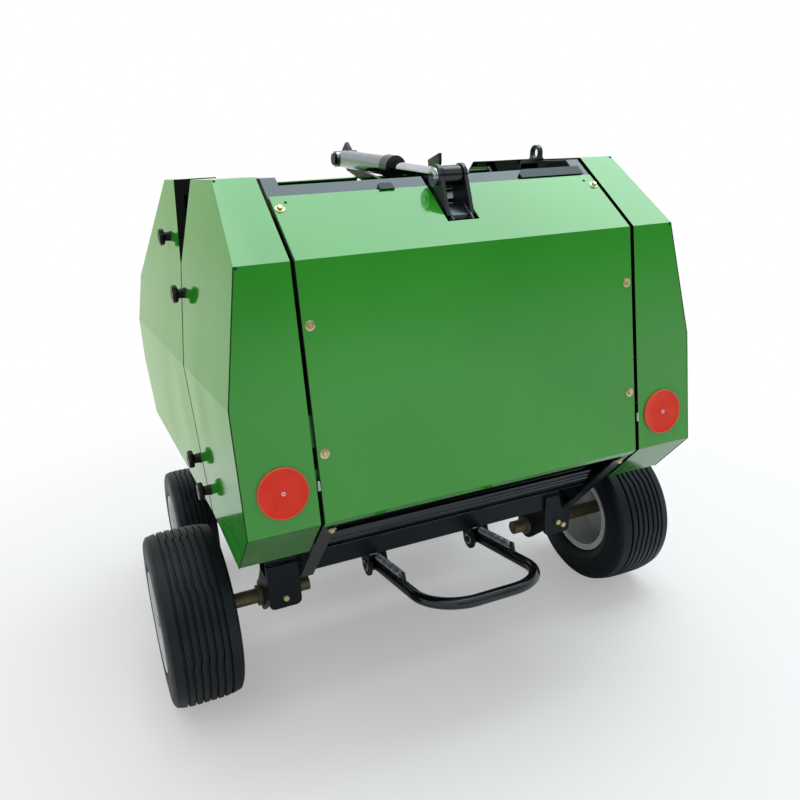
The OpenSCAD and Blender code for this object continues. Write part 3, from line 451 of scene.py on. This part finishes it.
# Mesh building
class Stock:
    """A mesh in the making: turned, extruded and swept shapes gathered into one piece."""

    def __init__(self):
        self.points = []
        self.faces = []

    def skin(self, rows, loop=False):
        """Joins closed rows of points one after the other; the outer rows are closed, or joined in a loop."""
        start = len(self.points)
        wide = len(rows[0])
        count = len(rows)
        for row in rows:
            self.points.extend(row)
        for i in range(count if loop else count - 1):
            a = start + i * wide
            b = start + (i + 1) % count * wide
            for j in range(wide):
                k = (j + 1) % wide
                self.faces.append((a + j, a + k, b + k, b + j))
        if not loop:
            self.faces.append(tuple(start + j for j in reversed(range(wide))))
            self.faces.append(tuple(start + (count - 1) * wide + j for j in range(wide)))

    def turned(self, profile, at, axis, steps=24, lobes=0, lobe_depth=0.0):
        """A shape turned about an axis from (radius, height) pairs in millimetres, base first."""
        axis = Vector(axis).normalized()
        side = axis.orthogonal().normalized()
        up = axis.cross(side)
        rows = []
        for radius, height in profile:
            row = []
            for i in range(steps):
                angle = math.tau * i / steps
                reach = radius * MM * (1 + lobe_depth * math.cos(lobes * angle))
                spoke = side * math.cos(angle) + up * math.sin(angle)
                row.append(at + axis * (height * MM) + spoke * reach)
            rows.append(row)
        self.skin(rows)

    def prism(self, outline, at, right, up, depth):
        """A plate with a small chamfer: outline in millimetres along right and up, standing out by depth."""
        edge = 0.8
        right = Vector(right).normalized()
        up = Vector(up).normalized()
        out = right.cross(up)
        middle = [sum(p[i] for p in outline) / len(outline) for i in (0, 1)]

        def row(height, shrink):
            points = []
            for u, v in outline:
                reach = math.hypot(u - middle[0], v - middle[1])
                k = (reach - shrink) / reach
                u = middle[0] + (u - middle[0]) * k
                v = middle[1] + (v - middle[1]) * k
                points.append(at + right * (u * MM) + up * (v * MM) + out * (height * MM))
            return points

        self.skin([row(0, 0), row(depth - edge, 0), row(depth, edge)])

    def swept(self, path, radius, steps=8):
        """A bar along a path; radius in millimetres is one number, or one for each point."""
        rows = []
        side = None
        last = len(path) - 1
        for i, point in enumerate(path):
            ahead = (path[min(i + 1, last)] - path[max(i - 1, 0)]).normalized()
            side = side or ahead.orthogonal()
            side = (side - ahead * side.dot(ahead)).normalized()
            up = ahead.cross(side)
            reach = (radius[i] if isinstance(radius, list) else radius) * MM
            angles = [math.tau * j / steps for j in range(steps)]
            rows.append([point + (side * math.cos(a) + up * math.sin(a)) * reach for a in angles])
        self.skin(rows)

    def bead(self, start, end, radius=2.6):
        """A rippled weld bead with tapered ends."""
        ripple = 2.4 * MM
        count = max(4, int((end - start).length / ripple) * 2)
        path = [start.lerp(end, i / count) for i in range(count + 1)]
        sizes = [radius * (1.0 if i % 2 else 0.84) for i in range(count + 1)]
        sizes[0] = sizes[-1] = radius * 0.4
        self.swept(path, sizes, steps=7)

    def bolt(self, at, axis, across, washer=True):
        """A hexagon head of that width over the flats in millimetres, on a washer."""
        axis = Vector(axis).normalized()
        thick = across * 0.14
        if washer:
            wide = across * 1.02
            rim = [(wide * 0.94, -0.4), (wide, thick * 0.25), (wide, thick * 0.8), (wide * 0.94, thick)]
            self.turned(rim, at, axis)
        base = thick - 0.2 if washer else -0.4
        corner = across / math.sqrt(3)
        high = across * 0.58
        head = [(corner, base), (corner, base + high * 0.8), (corner * 0.84, base + high)]
        self.turned(head, at, axis, 6)

    def made(self, name, body, slot, finish=None, stands_for=()):
        """Turns what was gathered into one object that rides on a body."""
        mesh = bpy.data.meshes.new(name)
        mesh.from_pydata(self.points, [], self.faces)
        mesh.polygons.foreach_set("use_smooth", [True] * len(mesh.polygons))
        mesh.set_sharp_from_angle(angle=math.radians(36))
        mesh.materials.append(finish or finishes[slot])
        piece = bpy.data.objects.new(name, mesh)
        bpy.context.scene.collection.objects.link(piece)
        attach(piece, body)
        if stands_for:
            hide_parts(*stands_for)


# Tailgate
def panel_bolts():
    """Yellow bolts through the rear panel: on each side one on the slope, two below, one under the corner."""
    bolts = Stock()
    across = 9.5
    slope_x, rear_x, corner_x = 355, 353, 346
    slope_bolt = 1120
    for side in SIDES:
        bolts.bolt(spot(side * slope_x, on_line(BEND, TOP_REAR, slope_bolt), slope_bolt), SLOPE_OUT, across)
        for z in (924, 690):
            bolts.bolt(spot(side * rear_x, on_line(TAIL, BEND, z), z), REAR_OUT, across)
        bolts.bolt(spot(side * corner_x, -520.0, 527.0), FLAP_OUT, 9)
    bolts.made("panel_bolts", "gate", "steel", zinc)


def cover_seam_shades():
    """Dark tube along the open corner seam between the side and rear sheets of each tailgate cover as its
    painted shadow, and dark discs as painted shade of its relief holes.
    """
    seams = Stock()
    inward = 0.5
    steps = 12
    hole_shade_disc = [(3.0, -2.0), (3.0, 0.5), (2.0, 0.9)]
    panel_hole_x, panel_hole_z = 339, 1130
    for side in SIDES:
        def corner(y, z):
            return spot(side * (side_x(y, z) - inward), y + inward, z)

        path = []
        for start, end in ((BEND, TAIL), (TAIL, FLAP)):
            for i in range(steps):
                k = i / steps
                path.append(corner(start[0] + (end[0] - start[0]) * k, start[1] + (end[1] - start[1]) * k))
        path.append(corner(*FLAP))
        # Painted shadow: a dark tube lies in the open corner seam
        seams.swept(path, 1.25)
        bend_hole = spot(side * (side_x(*BEND) - 4), BEND[0] - 0.3, BEND[1] - 3)
        top_hole = spot(side * (side_x(*TOP_REAR) - 3), TOP_REAR[0] - 4, TOP_REAR[1] - 3)
        panel_hole = spot(side * panel_hole_x, on_line(BEND, TOP_REAR, panel_hole_z), panel_hole_z)
        # Painted shade: a dark disc sits on each relief hole
        for hole, out in ((bend_hole, REAR_OUT), (top_hole, SLOPE_OUT), (panel_hole, SLOPE_OUT)):
            seams.turned(hole_shade_disc, hole, out, 12)
    seams.made("cover_seam_shades", "gate", "green_paint", seam_shade_finish)


def seam_clips():
    """Bent sheet clips that hold each cover to the panel, seen in the seam."""
    clips = Stock()
    outline = [(2, -9), (7.5, -9), (7.5, 7), (6.5, 10), (3, 10), (2, 7)]
    seam_x, z = 372, 632
    for side in SIDES:
        at = spot(side * seam_x - 4.5, on_line(TAIL, BEND, z) - 1.0, z)
        clips.prism(outline, at, RIGHTWARD, REAR_OUT.cross(RIGHTWARD), 2.4)
    clips.made("seam_clips", "gate", "steel")


def reflectors():
    """Round lenses with a turned edge, each on a rivet."""
    lenses = Stock()
    rivets = Stock()
    lens = [(48.0, -0.6), (49.0, 0.4), (49.0, 3.6), (48.2, 4.7), (47.0, 5.2), (45.6, 5.0), (44.8, 4.6),
            (30.0, 4.8), (8.0, 4.8)]
    rivet = [(3.9, 4.4), (3.9, 5.6), (3.5, 6.2), (2.8, 6.4), (2.1, 6.0), (1.8, 4.7)]
    for side in SIDES:
        at = reflector_centre(side)
        lenses.turned(lens, at, REAR_OUT, 72)
        rivets.turned(rivet, at, REAR_OUT)
    lenses.made("reflector_lenses", "gate", "reflector_red", stands_for=("gate_reflectors",))
    rivets.made("reflector_rivets", "gate", "steel", bright_rivet)


def hand_knobs(name, body, node, places):
    """Lobed plastic grips on a stem, seated on the side sheet."""
    grips = Stock()
    stem = [(12.5, -1.0), (11.2, 1.5), (10.6, 4.0), (10.2, 13.0), (12.0, 15.0)]
    head = [(12.0, 14.6), (16.0, 15.0), (17.8, 16.2), (18.6, 18.4), (18.6, 23.6), (17.6, 26.0), (15.4, 27.2),
            (11.0, 27.4), (9.5, 26.4), (4.0, 26.4)]
    for side in SIDES:
        for y, z in places:
            at = spot(side * side_x(y, z), y, z)
            grips.turned(stem, at, (side, 0, 0))
            grips.turned(head, at, (side, 0, 0), 56, lobes=7, lobe_depth=0.05)
    grips.made(name, body, "knob_black", stands_for=(node,))


def gate_welds():
    """Weld beads of the rod bracket and round the foot of the lifting lug."""
    beads = Stock()
    for x in (-22.0, 22.0):
        beads.bead(spot(x, -430, slope_z(-430) - 1), spot(x, -392, slope_z(-392) - 1))
    foot_z = 1179.4
    for x in (355.4, 368.0):
        beads.bead(spot(x, -172, foot_z), spot(x, -136, foot_z))
    for y in (-172.6, -135.4):
        beads.bead(spot(357, y, foot_z), spot(367, y, foot_z))
    beads.made("gate_welds", "gate", "black_paint")


def bar_plates():
    """Dark plates on the flat bar: a stop beside the rod bracket, and the base strip of the lifting lug."""
    plates = Stock()
    low = -345.0
    stop = [(-142, -6), (-110, -6), (-110, 9), (-115, 13), (-137, 13), (-142, 9)]
    strip = [(190, 1), (350, 1), (350, 27), (202, 27), (190, 15)]
    for outline, thick in ((stop, 4.0), (strip, 3.0)):
        at = spot(0, low, slope_z(low) - 0.4)
        plates.prism(outline, at, RIGHTWARD, SLOPE_OUT.cross(RIGHTWARD), thick)
    plates.made("bar_plates", "gate", "black_paint", satin_black)


# Frame
def clamp_bolts():
    """Yellow bolts through the axle clamps."""
    bolts = Stock()
    rear_face = -263
    for x, z in ((-385, 235), (384, 244), (401, 233)):
        bolts.bolt(spot(x, rear_face, z), REARWARD, 15, washer=False)
    bolts.made("clamp_bolts", "frame", "steel", zinc)


def kicker_washers():
    """Washers and split pins on both ends of the kicker pins."""
    pins = Stock()
    x0, y, z = KICK_PIN
    washer = [(14, -0.5), (14.6, 0.4), (14.6, 2.0), (14, 2.6)]
    for side in SIDES:
        for end in SIDES:
            pins.turned(washer, spot(side * x0 + end * 25, y, z), (end, 0, 0))
            pins.swept([spot(side * x0 + end * 28.6, y, z + k) for k in (-15, -6, 6, 12)], 1.3)
    pins.made("kicker_washers", "frame", "steel")


def frame_welds():
    """Weld beads where lugs, clamps, hitch plates, mast and cylinder mount meet the tubes."""
    beads = Stock()
    lug_z, clamp_y, clamp_z = 283.4, -255.6, 322.4
    hitch_y, mast_top_z, mount_z = 432.4, 919.4, 1129.4
    for side in SIDES:
        for lug in (123.0, 167.0):
            for face in (-3.4, 3.4):
                x = side * (lug + face)
                beads.bead(spot(x, -252, lug_z), spot(x, -210, lug_z))
        beads.bead(spot(side * 348, clamp_y, clamp_z), spot(side * 423, clamp_y, clamp_z))
        for x, radius in ((97.6, 2.6), (108.4, 2.6), (327.2, 3.0), (341.8, 3.0)):
            beads.bead(spot(side * x, hitch_y, 474), spot(side * x, hitch_y, 526), radius)
        for z in (880, 918):
            beads.bead(spot(side * 97.4, 488, z), spot(side * 97.4, 524, z))
        for x in (23.6, 34.4):
            beads.bead(spot(side * x, 490, mast_top_z), spot(side * x, 524, mast_top_z))
    for x, front in ((26.6, 76), (36.4, 76), (179.6, 52), (188.4, 52)):
        beads.bead(spot(x, 35, mount_z), spot(x, front, mount_z))
    beads.made("frame_welds", "frame", "black_paint")


def bearing(units, at, side):
    """A pressed flange bearing with three bolts and a grease nipple."""
    axis = Vector((side, 0, 0))
    flange = [(40, -0.5), (41, 0.8), (41, 2.8), (38, 4.0), (30, 4.6), (27, 9.0), (25, 11.5), (22, 12.6),
              (19, 12.0), (17.5, 12.0)]
    nipple = [(3.2, 0), (3.2, 3), (1.8, 4), (2.4, 6), (1.4, 8)]
    corners = 3
    units.turned(flange, at, axis, 60, lobes=corners, lobe_depth=0.06)
    right = axis.orthogonal().normalized()
    up = axis.cross(right)
    for i in range(corners):
        angle = math.tau * i / corners
        out = (right * math.cos(angle) + up * math.sin(angle)) * (34.5 * MM)
        units.bolt(at + out + axis * (3.6 * MM), axis, 9)
    units.turned(nipple, at + Vector((side * 9 * MM, 0, 24 * MM)), UPWARD, 10)


def bearings():
    """Bearings on the outside of the plates: two lower rollers, the pick-up reel, and the tailgate roller."""
    units = Stock()
    for side in SIDES:
        for y, z in ((26.5, 326.4), (-129.6, 316.8)):
            bearing(units, spot(side * HALF_W, y, z), side)
        bearing(units, spot(side * (HALF_W + 6), *REEL), side)
    units.made("frame_bearings", "frame", "gearbox_paint")
    gate_units = Stock()
    for side in SIDES:
        bearing(gate_units, spot(side * HALF_W, -396.1, 480.2), side)
    gate_units.made("gate_bearings", "gate", "gearbox_paint")


def gearbox_fittings():
    """Cap bolts, foot bolts and filler plug of the gearbox."""
    bolts = Stock()
    tube_y, shaft_z = 402.0, 610.0
    tube_circle, shaft_circle = 35, 37
    front_face, foot_z = 480, 540
    caps = 6
    for i in range(caps):
        angle = math.tau * (i + 0.5) / caps
        rise, run = math.sin(angle), math.cos(angle)
        for x, out in ((82, RIGHTWARD), (-88, LEFTWARD)):
            bolts.bolt(spot(x, tube_y + tube_circle * run, shaft_z + tube_circle * rise), out, 9)
        bolts.bolt(spot(shaft_circle * run, front_face, shaft_z + shaft_circle * rise), FORWARD, 9)
    for side in SIDES:
        for y in (398, 422):
            bolts.bolt(spot(side * 77, y, foot_z), UPWARD, 8, washer=False)
    plug = [(13, -0.5), (13, 3), (9, 4), (9, 10), (11, 11), (11, 17), (8, 19)]
    bolts.turned(plug, spot(-54, 452, 672), UPWARD, 18)
    bolts.made("gearbox_bolts", "frame", "steel")


def pickup_bolts():
    """Domed bolts that hold the stripper bands to their cross bars."""
    domes = Stock()
    dome = [(6.6, -0.4), (6.6, 0.8), (5.6, 2.4), (3.6, 3.6), (1.4, 4.0)]
    bands = 13
    half_span = HALF_W - 24
    pitch = 2 * half_span / bands
    bar_y = 165
    for i in range(bands):
        x = -half_span + (i + 0.5) * pitch
        domes.turned(dome, spot(x, bar_y, 368), UPWARD, 14)
        domes.turned(dome, spot(x, bar_y, 156), DOWNWARD, 14)
    domes.made("pickup_bolts", "frame", "steel")


def hood_bolts():
    """Bolts along both edges of the front hood."""
    bolts = Stock()
    along = Vector((0, TOP_FRONT[0] - NOSE_TOP[0], TOP_FRONT[1] - NOSE_TOP[1])).normalized()
    out = Vector((0, along.z, -along.y))
    edge_x, drop, across = 346, 20.0, 11
    for side in SIDES:
        for k in (0.16, 0.5, 0.84):
            y = NOSE_TOP[0] + (TOP_FRONT[0] - NOSE_TOP[0]) * k - drop * out.y
            z = NOSE_TOP[1] + (TOP_FRONT[1] - NOSE_TOP[1]) * k - drop * out.z
            bolts.bolt(spot(side * edge_x, y, z), out, across)
        for z in (760, 880):
            bolts.bolt(spot(side * edge_x, NOSE_TOP[0] - drop, z), FORWARD, across)
    bolts.made("hood_bolts", "frame", "steel", zinc)


# Cylinder
def oil_fittings():
    """Elbow unions on the two oil ports, closed with caps."""
    unions = Stock()
    caps = Stock()
    seat = [(10.5, -1), (10.5, 6), (9.4, 7)]
    nut = [(9.8, 0), (9.8, 9), (8.6, 10)]
    cap = [(8.6, 0), (8.8, 1), (8.8, 9), (7.6, 11), (3.0, 11.4)]
    port_x = 33
    for reach in (110.0, 262.7):
        port = spot(port_x, *BARREL_PIN) + CYLINDER_WAY * (reach * MM)
        unions.turned(seat, port, RIGHTWARD, 6)
        start = port + RIGHTWARD * (6 * MM)
        knee = start + RIGHTWARD * (10 * MM)
        tip = knee - CYLINDER_WAY * (24 * MM)
        way = tip - knee
        bend = knee + (start - knee) * 0.15 + way * 0.08
        unions.swept([start, start.lerp(knee, 0.6), bend, knee + way * 0.3, tip], 6.0, 14)
        unions.turned(nut, knee + way * 0.55, way, 6)
        caps.turned(cap, tip + CYLINDER_WAY * (2 * MM), way, 18)
    unions.made("oil_unions", "barrel", "steel", zinc)
    caps.made("oil_caps", "barrel", "knob_black")


# Kicker
def coil_springs():
    """Close-wound tension springs over the kicker arms, hooked at both ends."""
    coils = Stock()
    x0, y0, z0 = KICK_PIN
    wire, radius, height = 1.5, 7.6, 25.0
    first, last = 24.0, 154.0
    turns, per_turn = 34, 10

    def place(side, x, y, z):
        """A point of the kicker's own frame, arm along -y."""
        return spot(side * x0 + x, y0 + y * math.cos(KICK_RISE) + z * math.sin(KICK_RISE),
                    z0 - y * math.sin(KICK_RISE) + z * math.cos(KICK_RISE))

    for side in SIDES:
        path = [place(side, 0, -18.6, height + 1), place(side, 0, -20.5, height)]
        for i in range(turns * per_turn + 1):
            angle = math.tau * i / per_turn
            y = -first - (last - first) * i / (turns * per_turn)
            path.append(place(side, radius * math.sin(angle), y, height + radius * math.cos(angle)))
        path.extend([place(side, 0, -156.5, height), place(side, 0, -160.5, height)])
        coils.swept(path, wire, 6)
    coils.made("kicker_coils", "kicker", "spring_steel", stands_for=("kicker_springs",))


# Wheels
def smooth_line(points, parts):
    """Points along a rounded line through the given ones, that many for each stretch."""
    line = []
    last = len(points) - 1
    for i in range(last):
        p0, p1, p2, p3 = (points[max(0, min(last, i + k))] for k in (-1, 0, 1, 2))
        for j in range(parts):
            t = j / parts
            line.append(tuple(0.5 * (2 * b + (c - a) * t + (2 * a - 5 * b + 4 * c - d) * t * t
                                     + (3 * b - a - 3 * c + d) * t ** 3)
                              for a, b, c, d in zip(p0, p1, p2, p3)))
    line.append(points[last])
    return line


def groove_pitch(width, grooves):
    """Distance between two grooves of a tread."""
    return 0.8 * width / (grooves + 1)


def tyre_section(radius, width, rim, grooves, shift, depth):
    """(radius, offset) pairs of a ribbed tyre from one bead round to the other."""
    tall = radius - rim
    flank = smooth_line([(rim - 11, 0.40 * width), (rim + 1, 0.402 * width), (rim + 6, 0.45 * width),
                         (rim + 0.2 * tall, 0.484 * width), (rim + 0.26 * tall, 0.498 * width),
                         (rim + 0.32 * tall, 0.494 * width), (rim + 0.5 * tall, 0.5 * width),
                         (rim + 0.72 * tall, 0.492 * width), (rim + 0.78 * tall, 0.49 * width),
                         (rim + 0.86 * tall, 0.472 * width), (rim + 0.93 * tall, 0.446 * width)], 3)
    half = 0.43 * width
    drop = 0.03 * radius

    def crown(x):
        return radius - drop * (x / half) ** 4

    pitch = groove_pitch(width, grooves)
    groove = ((-0.5, 0), (-0.19, 0), (-0.15, 0.25), (-0.1, 1), (0.1, 1), (0.15, 0.25), (0.19, 0))
    tread = []
    for i in range(grooves):
        centre = (i - (grooves - 1) / 2) * pitch
        if 0 < i < grooves - 1:
            centre += shift
        for x, sunk in groove:
            at = centre + x * pitch
            tread.append((crown(at) - sunk * depth, at))
    edge = (grooves / 2) * pitch
    tread.append((crown(edge), edge))
    left = [(r, -x) for r, x in flank]
    return left + tread + list(reversed(flank))


def tyre(name, body, node, centre, radius, width, rim, grooves):
    """A ribbed implement tyre whose inner grooves step aside along the tread."""
    rubber = Stock()
    steps = 144
    aside = 0.12 * groove_pitch(width, grooves)
    waves, steepness = 4, 6.0
    groove_depth = 6.0
    rows = []
    for i in range(steps):
        angle = math.tau * i / steps
        run, rise = -math.sin(angle), -math.cos(angle)
        shift = aside * max(-1.0, min(1.0, steepness * math.sin(waves * angle)))
        section = tyre_section(radius, width, rim, grooves, shift, groove_depth)
        rows.append([centre + Vector((x * MM, r * MM * run, r * MM * rise)) for r, x in section])
    rubber.skin(rows, loop=True)
    rubber.made(name, body, "tyre", stands_for=(node,))


def rim_lip(name, body, centre, side, rim, bead, width):
    """Rolled outer edge of the rim, from its flange out to the face of the tyre."""
    lip = Stock()
    out = Vector((side, 0, 0))
    face = width / 2 - 0.8
    section = [(rim - 10.5, bead + 1.5), (rim - 9.0, bead + 6.0), (rim - 5.0, face - 3.0),
               (rim - 2.4, face - 0.4), (rim + 0.2, face), (rim + 2.0, face - 1.2), (rim + 2.2, face - 3.4),
               (rim + 0.4, face - 5.0), (rim - 2.6, face - 7.0), (rim - 5.4, bead + 6.4),
               (rim - 4.0, bead + 1.5)]
    steps = 96
    rows = []
    for i in range(steps):
        angle = math.tau * i / steps
        spoke = Vector((0, -math.sin(angle), math.cos(angle) * side))
        rows.append([centre + spoke * (r * MM) + out * (x * MM) for r, x in section])
    lip.skin(rows, loop=True)
    lip.made(name, body, "rim_white")


def wheel_fittings(name, body, centre, side, outer, inner, circle, count, valve):
    """Wheel nuts and stud ends on the outside of the disc, bolt heads on its inside, and the valve."""
    nuts = Stock()
    out = Vector((side, 0, 0))
    across = 13
    stud = [(4.2, 6), (4.2, 13), (3.2, 14)]
    stem = [(6, 0), (5.2, 5), (4, 8), (3.6, 18), (4.4, 19), (4.4, 27), (3, 28)]
    for i in range(count):
        angle = math.tau * i / count
        hole = centre + Vector((0, math.sin(angle), math.cos(angle))) * (circle * MM)
        nuts.bolt(hole + out * (outer * MM), out, across)
        nuts.turned(stud, hole + out * (outer * MM), out, 10)
        nuts.bolt(hole + out * (inner * MM), -out, across, washer=False)
    nuts.turned(stem, centre + Vector((0, 0, valve * MM)) + out * ((outer - 9) * MM), out, 14)
    nuts.made(name, body, "steel")


def axle_nuts():
    """Castle nuts, washers and split pins on the ends of both axles."""
    nuts = Stock()
    for side in SIDES:
        for x, (y, z), across, room in ((656.6, AXLE, 26.0, 17.0), (531.0, GAUGE_AXLE, 20.0, 13.0)):
            at = spot(side * x, y, z)
            axis = Vector((side, 0, 0))
            washer = [(across * 0.8, 0), (across * 0.84, 0.5), (across * 0.84, 2.2), (across * 0.8, 2.7)]
            nuts.turned(washer, at, axis, 32)
            castle = [(across * 0.62, 2.4), (across * 0.62, room * 0.62), (across * 0.56, room * 0.7),
                      (across * 0.5, room * 0.7), (across * 0.5, room * 0.94), (across * 0.44, room)]
            nuts.turned(castle, at, axis, 6)
            pin = at + Vector((side * room * 0.8 * MM, 0, 0))
            nuts.swept([pin + Vector((0, 0, k * across * 0.16 * MM)) for k in (-4, -1, 1, 4)], 1.4)
    nuts.made("axle_nuts", "frame", "steel")


def wheels():
    """Tyres, rim edges and fittings of the four wheels, then the nuts on the axles."""
    main_width, main_rim = MAIN_TYRE[1:]
    gauge_width, gauge_rim = GAUGE_TYRE[1:]
    for side, word in zip(SIDES, ("left", "right")):
        wheel, gauge = "wheel_" + word, "gauge_" + word
        main = spot(side * TRACK_X, *AXLE)
        small = spot(side * GAUGE_X, *GAUGE_AXLE)
        tyre("ribbed_tyre_" + word, wheel, "tyre_" + word, main, *MAIN_TYRE, grooves=7)
        tyre("ribbed_gauge_tyre_" + word, gauge, "gauge_tyre_" + word, small, *GAUGE_TYRE, grooves=5)
        rim_lip("rim_lip_" + word, wheel, main, side, main_rim, 65.2, main_width)
        rim_lip("gauge_lip_" + word, gauge, small, side, gauge_rim, 44.8, gauge_width)
        wheel_fittings("wheel_nuts_" + word, wheel, main, side, outer=38.4, inner=32.6, circle=54.0,
                       count=5, valve=88.0)
        wheel_fittings("gauge_nuts_" + word, gauge, small, side, outer=16.4, inner=10.6, circle=42.0,
                       count=4, valve=66.0)
    axle_nuts()


panel_bolts()
cover_seam_shades()
seam_clips()
reflectors()
hand_knobs("gate_grips", "gate", "gate_knobs", GATE_KNOBS)
hand_knobs("front_grips", "frame", "front_knobs", FRONT_KNOBS)
gate_welds()
bar_plates()
clamp_bolts()
kicker_washers()
frame_welds()
bearings()
gearbox_fittings()
pickup_bolts()
hood_bolts()
oil_fittings()
coil_springs()
wheels()


# Studio
def stage_sheet(name, corners, finish):
    """A four-cornered sheet of the studio."""
    mesh = bpy.data.meshes.new(name)
    mesh.from_pydata(corners, [], [(0, 1, 2, 3)])
    mesh.materials.append(finish.material)
    sheet = bpy.data.objects.new(name, mesh)
    bpy.context.scene.collection.objects.link(sheet)
    return sheet


def floor():
    """Pale floor with the machine's shadow, lightened for the camera by a painted glow, that fades into the
    white of the studio.
    """
    half = 40.0
    f = Finish("floor_paper", roughness=0.9, specular_ior_level=0.1)
    f.set(base_color=f.mix(f.noise(3.0), (0.90, 0.90, 0.90, 1), (0.92, 0.92, 0.92, 1)))
    away = f.away((0, 0, 0))
    near_fade = away.ramp(0.5, 1.2) * 0.4
    far = near_fade + away.ramp(1.0, 2.2) * 0.6
    eye = f.node("ShaderNodeLightPath", out="Is Camera Ray")
    glossy = f.node("ShaderNodeLightPath", out="Is Glossy Ray")
    clear = f.node("ShaderNodeLightPath", out="Is Transmission Ray")
    white = glossy.over(clear).over(eye) * far
    # Painted light: near the machine the camera sees a glow of a third of white over the floor's shading,
    # which lightens its shadow
    lift = eye * (1 - far) * 0.34
    glow = f.node("ShaderNodeEmission", None, {"Color": (1, 1, 1, 1), "Strength": 1.0})
    blend = f.node("ShaderNodeMixShader", None, {0: white + lift})
    mixer = blend.socket.node
    f.tree.links.new(f.shader.outputs[0], mixer.inputs[1])
    f.tree.links.new(glow.socket, mixer.inputs[2])
    f.tree.links.new(blend.socket, f.tree.nodes["Material Output"].inputs["Surface"])
    stage_sheet("floor", [(-half, -half, 0), (half, -half, 0), (half, half, 0), (-half, half, 0)], f)


def glossy_card(name, corners, near, far, letter, start, end):
    """Card that only shows in reflections; its colour runs from near to far along an axis."""
    f = Finish(name)
    level = f.axis(letter).ramp(start, end)
    glow = f.node("ShaderNodeEmission", None, {"Color": f.mix(level, near, far)})
    f.tree.links.new(glow.socket, f.tree.nodes["Material Output"].inputs["Surface"])
    card = stage_sheet(name, corners, f)
    card.visible_camera = False
    card.visible_diffuse = False
    card.visible_shadow = False
    card.visible_transmission = False


def upright(y, left, right, low, high):
    """Corners of a card that faces along Y."""
    return [(left, y, low), (right, y, low), (right, y, high), (left, y, high)]


def cards():
    """A skyline behind the camera that shades the upper rear faces; lawn and hedge beside the left cover."""
    white = (1, 1, 1, 1)
    lawn = (0.86, 0.97, 0.74, 1)
    hedge = (0.70, 0.86, 0.56, 1)
    dusk = (0.2, 0.2, 0.2, 1)
    ground = 0.01
    flat = [(-6, 0.9, ground), (-0.75, 0.9, ground), (-0.75, 8, ground), (-6, 8, ground)]
    glossy_card("skyline_card", upright(-6, -3, 9, 0.02, 3.6), white, dusk, "Z", 0.3, 1.9)
    glossy_card("lawn_card", flat, white, lawn, "Y", 0.9, 1.8)
    glossy_card("hedge_card", upright(8, -8, 0, ground, 3.0), lawn, hedge, "Z", 0.0, 1.4)


def softbox(name, at, aim, wide, long, power, tint=(1, 1, 1)):
    """A rectangular lamp in metres and watts that looks at a point."""
    lamp = bpy.data.lights.new(name, "AREA")
    lamp.color = tint
    lamp.shape = "RECTANGLE"
    lamp.size = wide
    lamp.size_y = long
    lamp.energy = power
    box = bpy.data.objects.new(name, lamp)
    box.location = at
    box.rotation_euler = (Vector(aim) - Vector(at)).to_track_quat("-Z", "Y").to_euler()
    bpy.context.scene.collection.objects.link(box)


def studio_world():
    """White to the eye and in reflections, less than half as bright as a source of soft light."""
    world = bpy.data.worlds.new("studio")
    world.use_nodes = True
    bpy.context.scene.world = world
    tree = world.node_tree
    background = tree.nodes["Background"]
    background.inputs["Color"].default_value = (1, 1, 1, 1)
    soft, white = 0.45, 1.0
    path = tree.nodes.new("ShaderNodeLightPath")
    seen = tree.nodes.new("ShaderNodeMath")
    seen.operation = "MAXIMUM"
    tree.links.new(path.outputs["Is Camera Ray"], seen.inputs[0])
    tree.links.new(path.outputs["Is Glossy Ray"], seen.inputs[1])
    clear = tree.nodes.new("ShaderNodeMath")
    clear.operation = "MAXIMUM"
    tree.links.new(seen.outputs[0], clear.inputs[0])
    tree.links.new(path.outputs["Is Transmission Ray"], clear.inputs[1])
    level = tree.nodes.new("ShaderNodeMapRange")
    level.inputs["To Min"].default_value = soft
    level.inputs["To Max"].default_value = white
    tree.links.new(clear.outputs[0], level.inputs["Value"])
    tree.links.new(level.outputs[0], background.inputs["Strength"])


CAMERA_AT = (-0.7455, -1.6959, 1.1973)
CAMERA_TURN = (71.06, 2.94, -22.31)
CAMERA_LENS = 32.574
CAMERA_SHIFT = (0.0563, 0.0109)


def photo_camera():
    """The view of the photograph, an 800 by 800 frame."""
    data = bpy.data.cameras.new("camera")
    data.lens = CAMERA_LENS
    data.sensor_width = 36.0
    data.shift_x = CAMERA_SHIFT[0]
    data.shift_y = CAMERA_SHIFT[1]
    camera = bpy.data.objects.new("camera", data)
    camera.location = CAMERA_AT
    camera.rotation_euler = [math.radians(angle) for angle in CAMERA_TURN]
    bpy.context.scene.collection.objects.link(camera)
    bpy.context.scene.camera = camera


floor()
cards()
studio_world()
softbox("sky_panel", (2.0, 0.4, 4.6), (2.0, 0.4, 0.0), wide=4.6, long=2.8, power=134, tint=(0.85, 1.0, 1.04))
softbox("left_panel", (-1.6, -0.6, 5.0), (-0.4, -0.2, 0.0), wide=5.0, long=5.0, power=55)
photo_camera()
bpy.context.scene.view_settings.view_transform = "Standard"
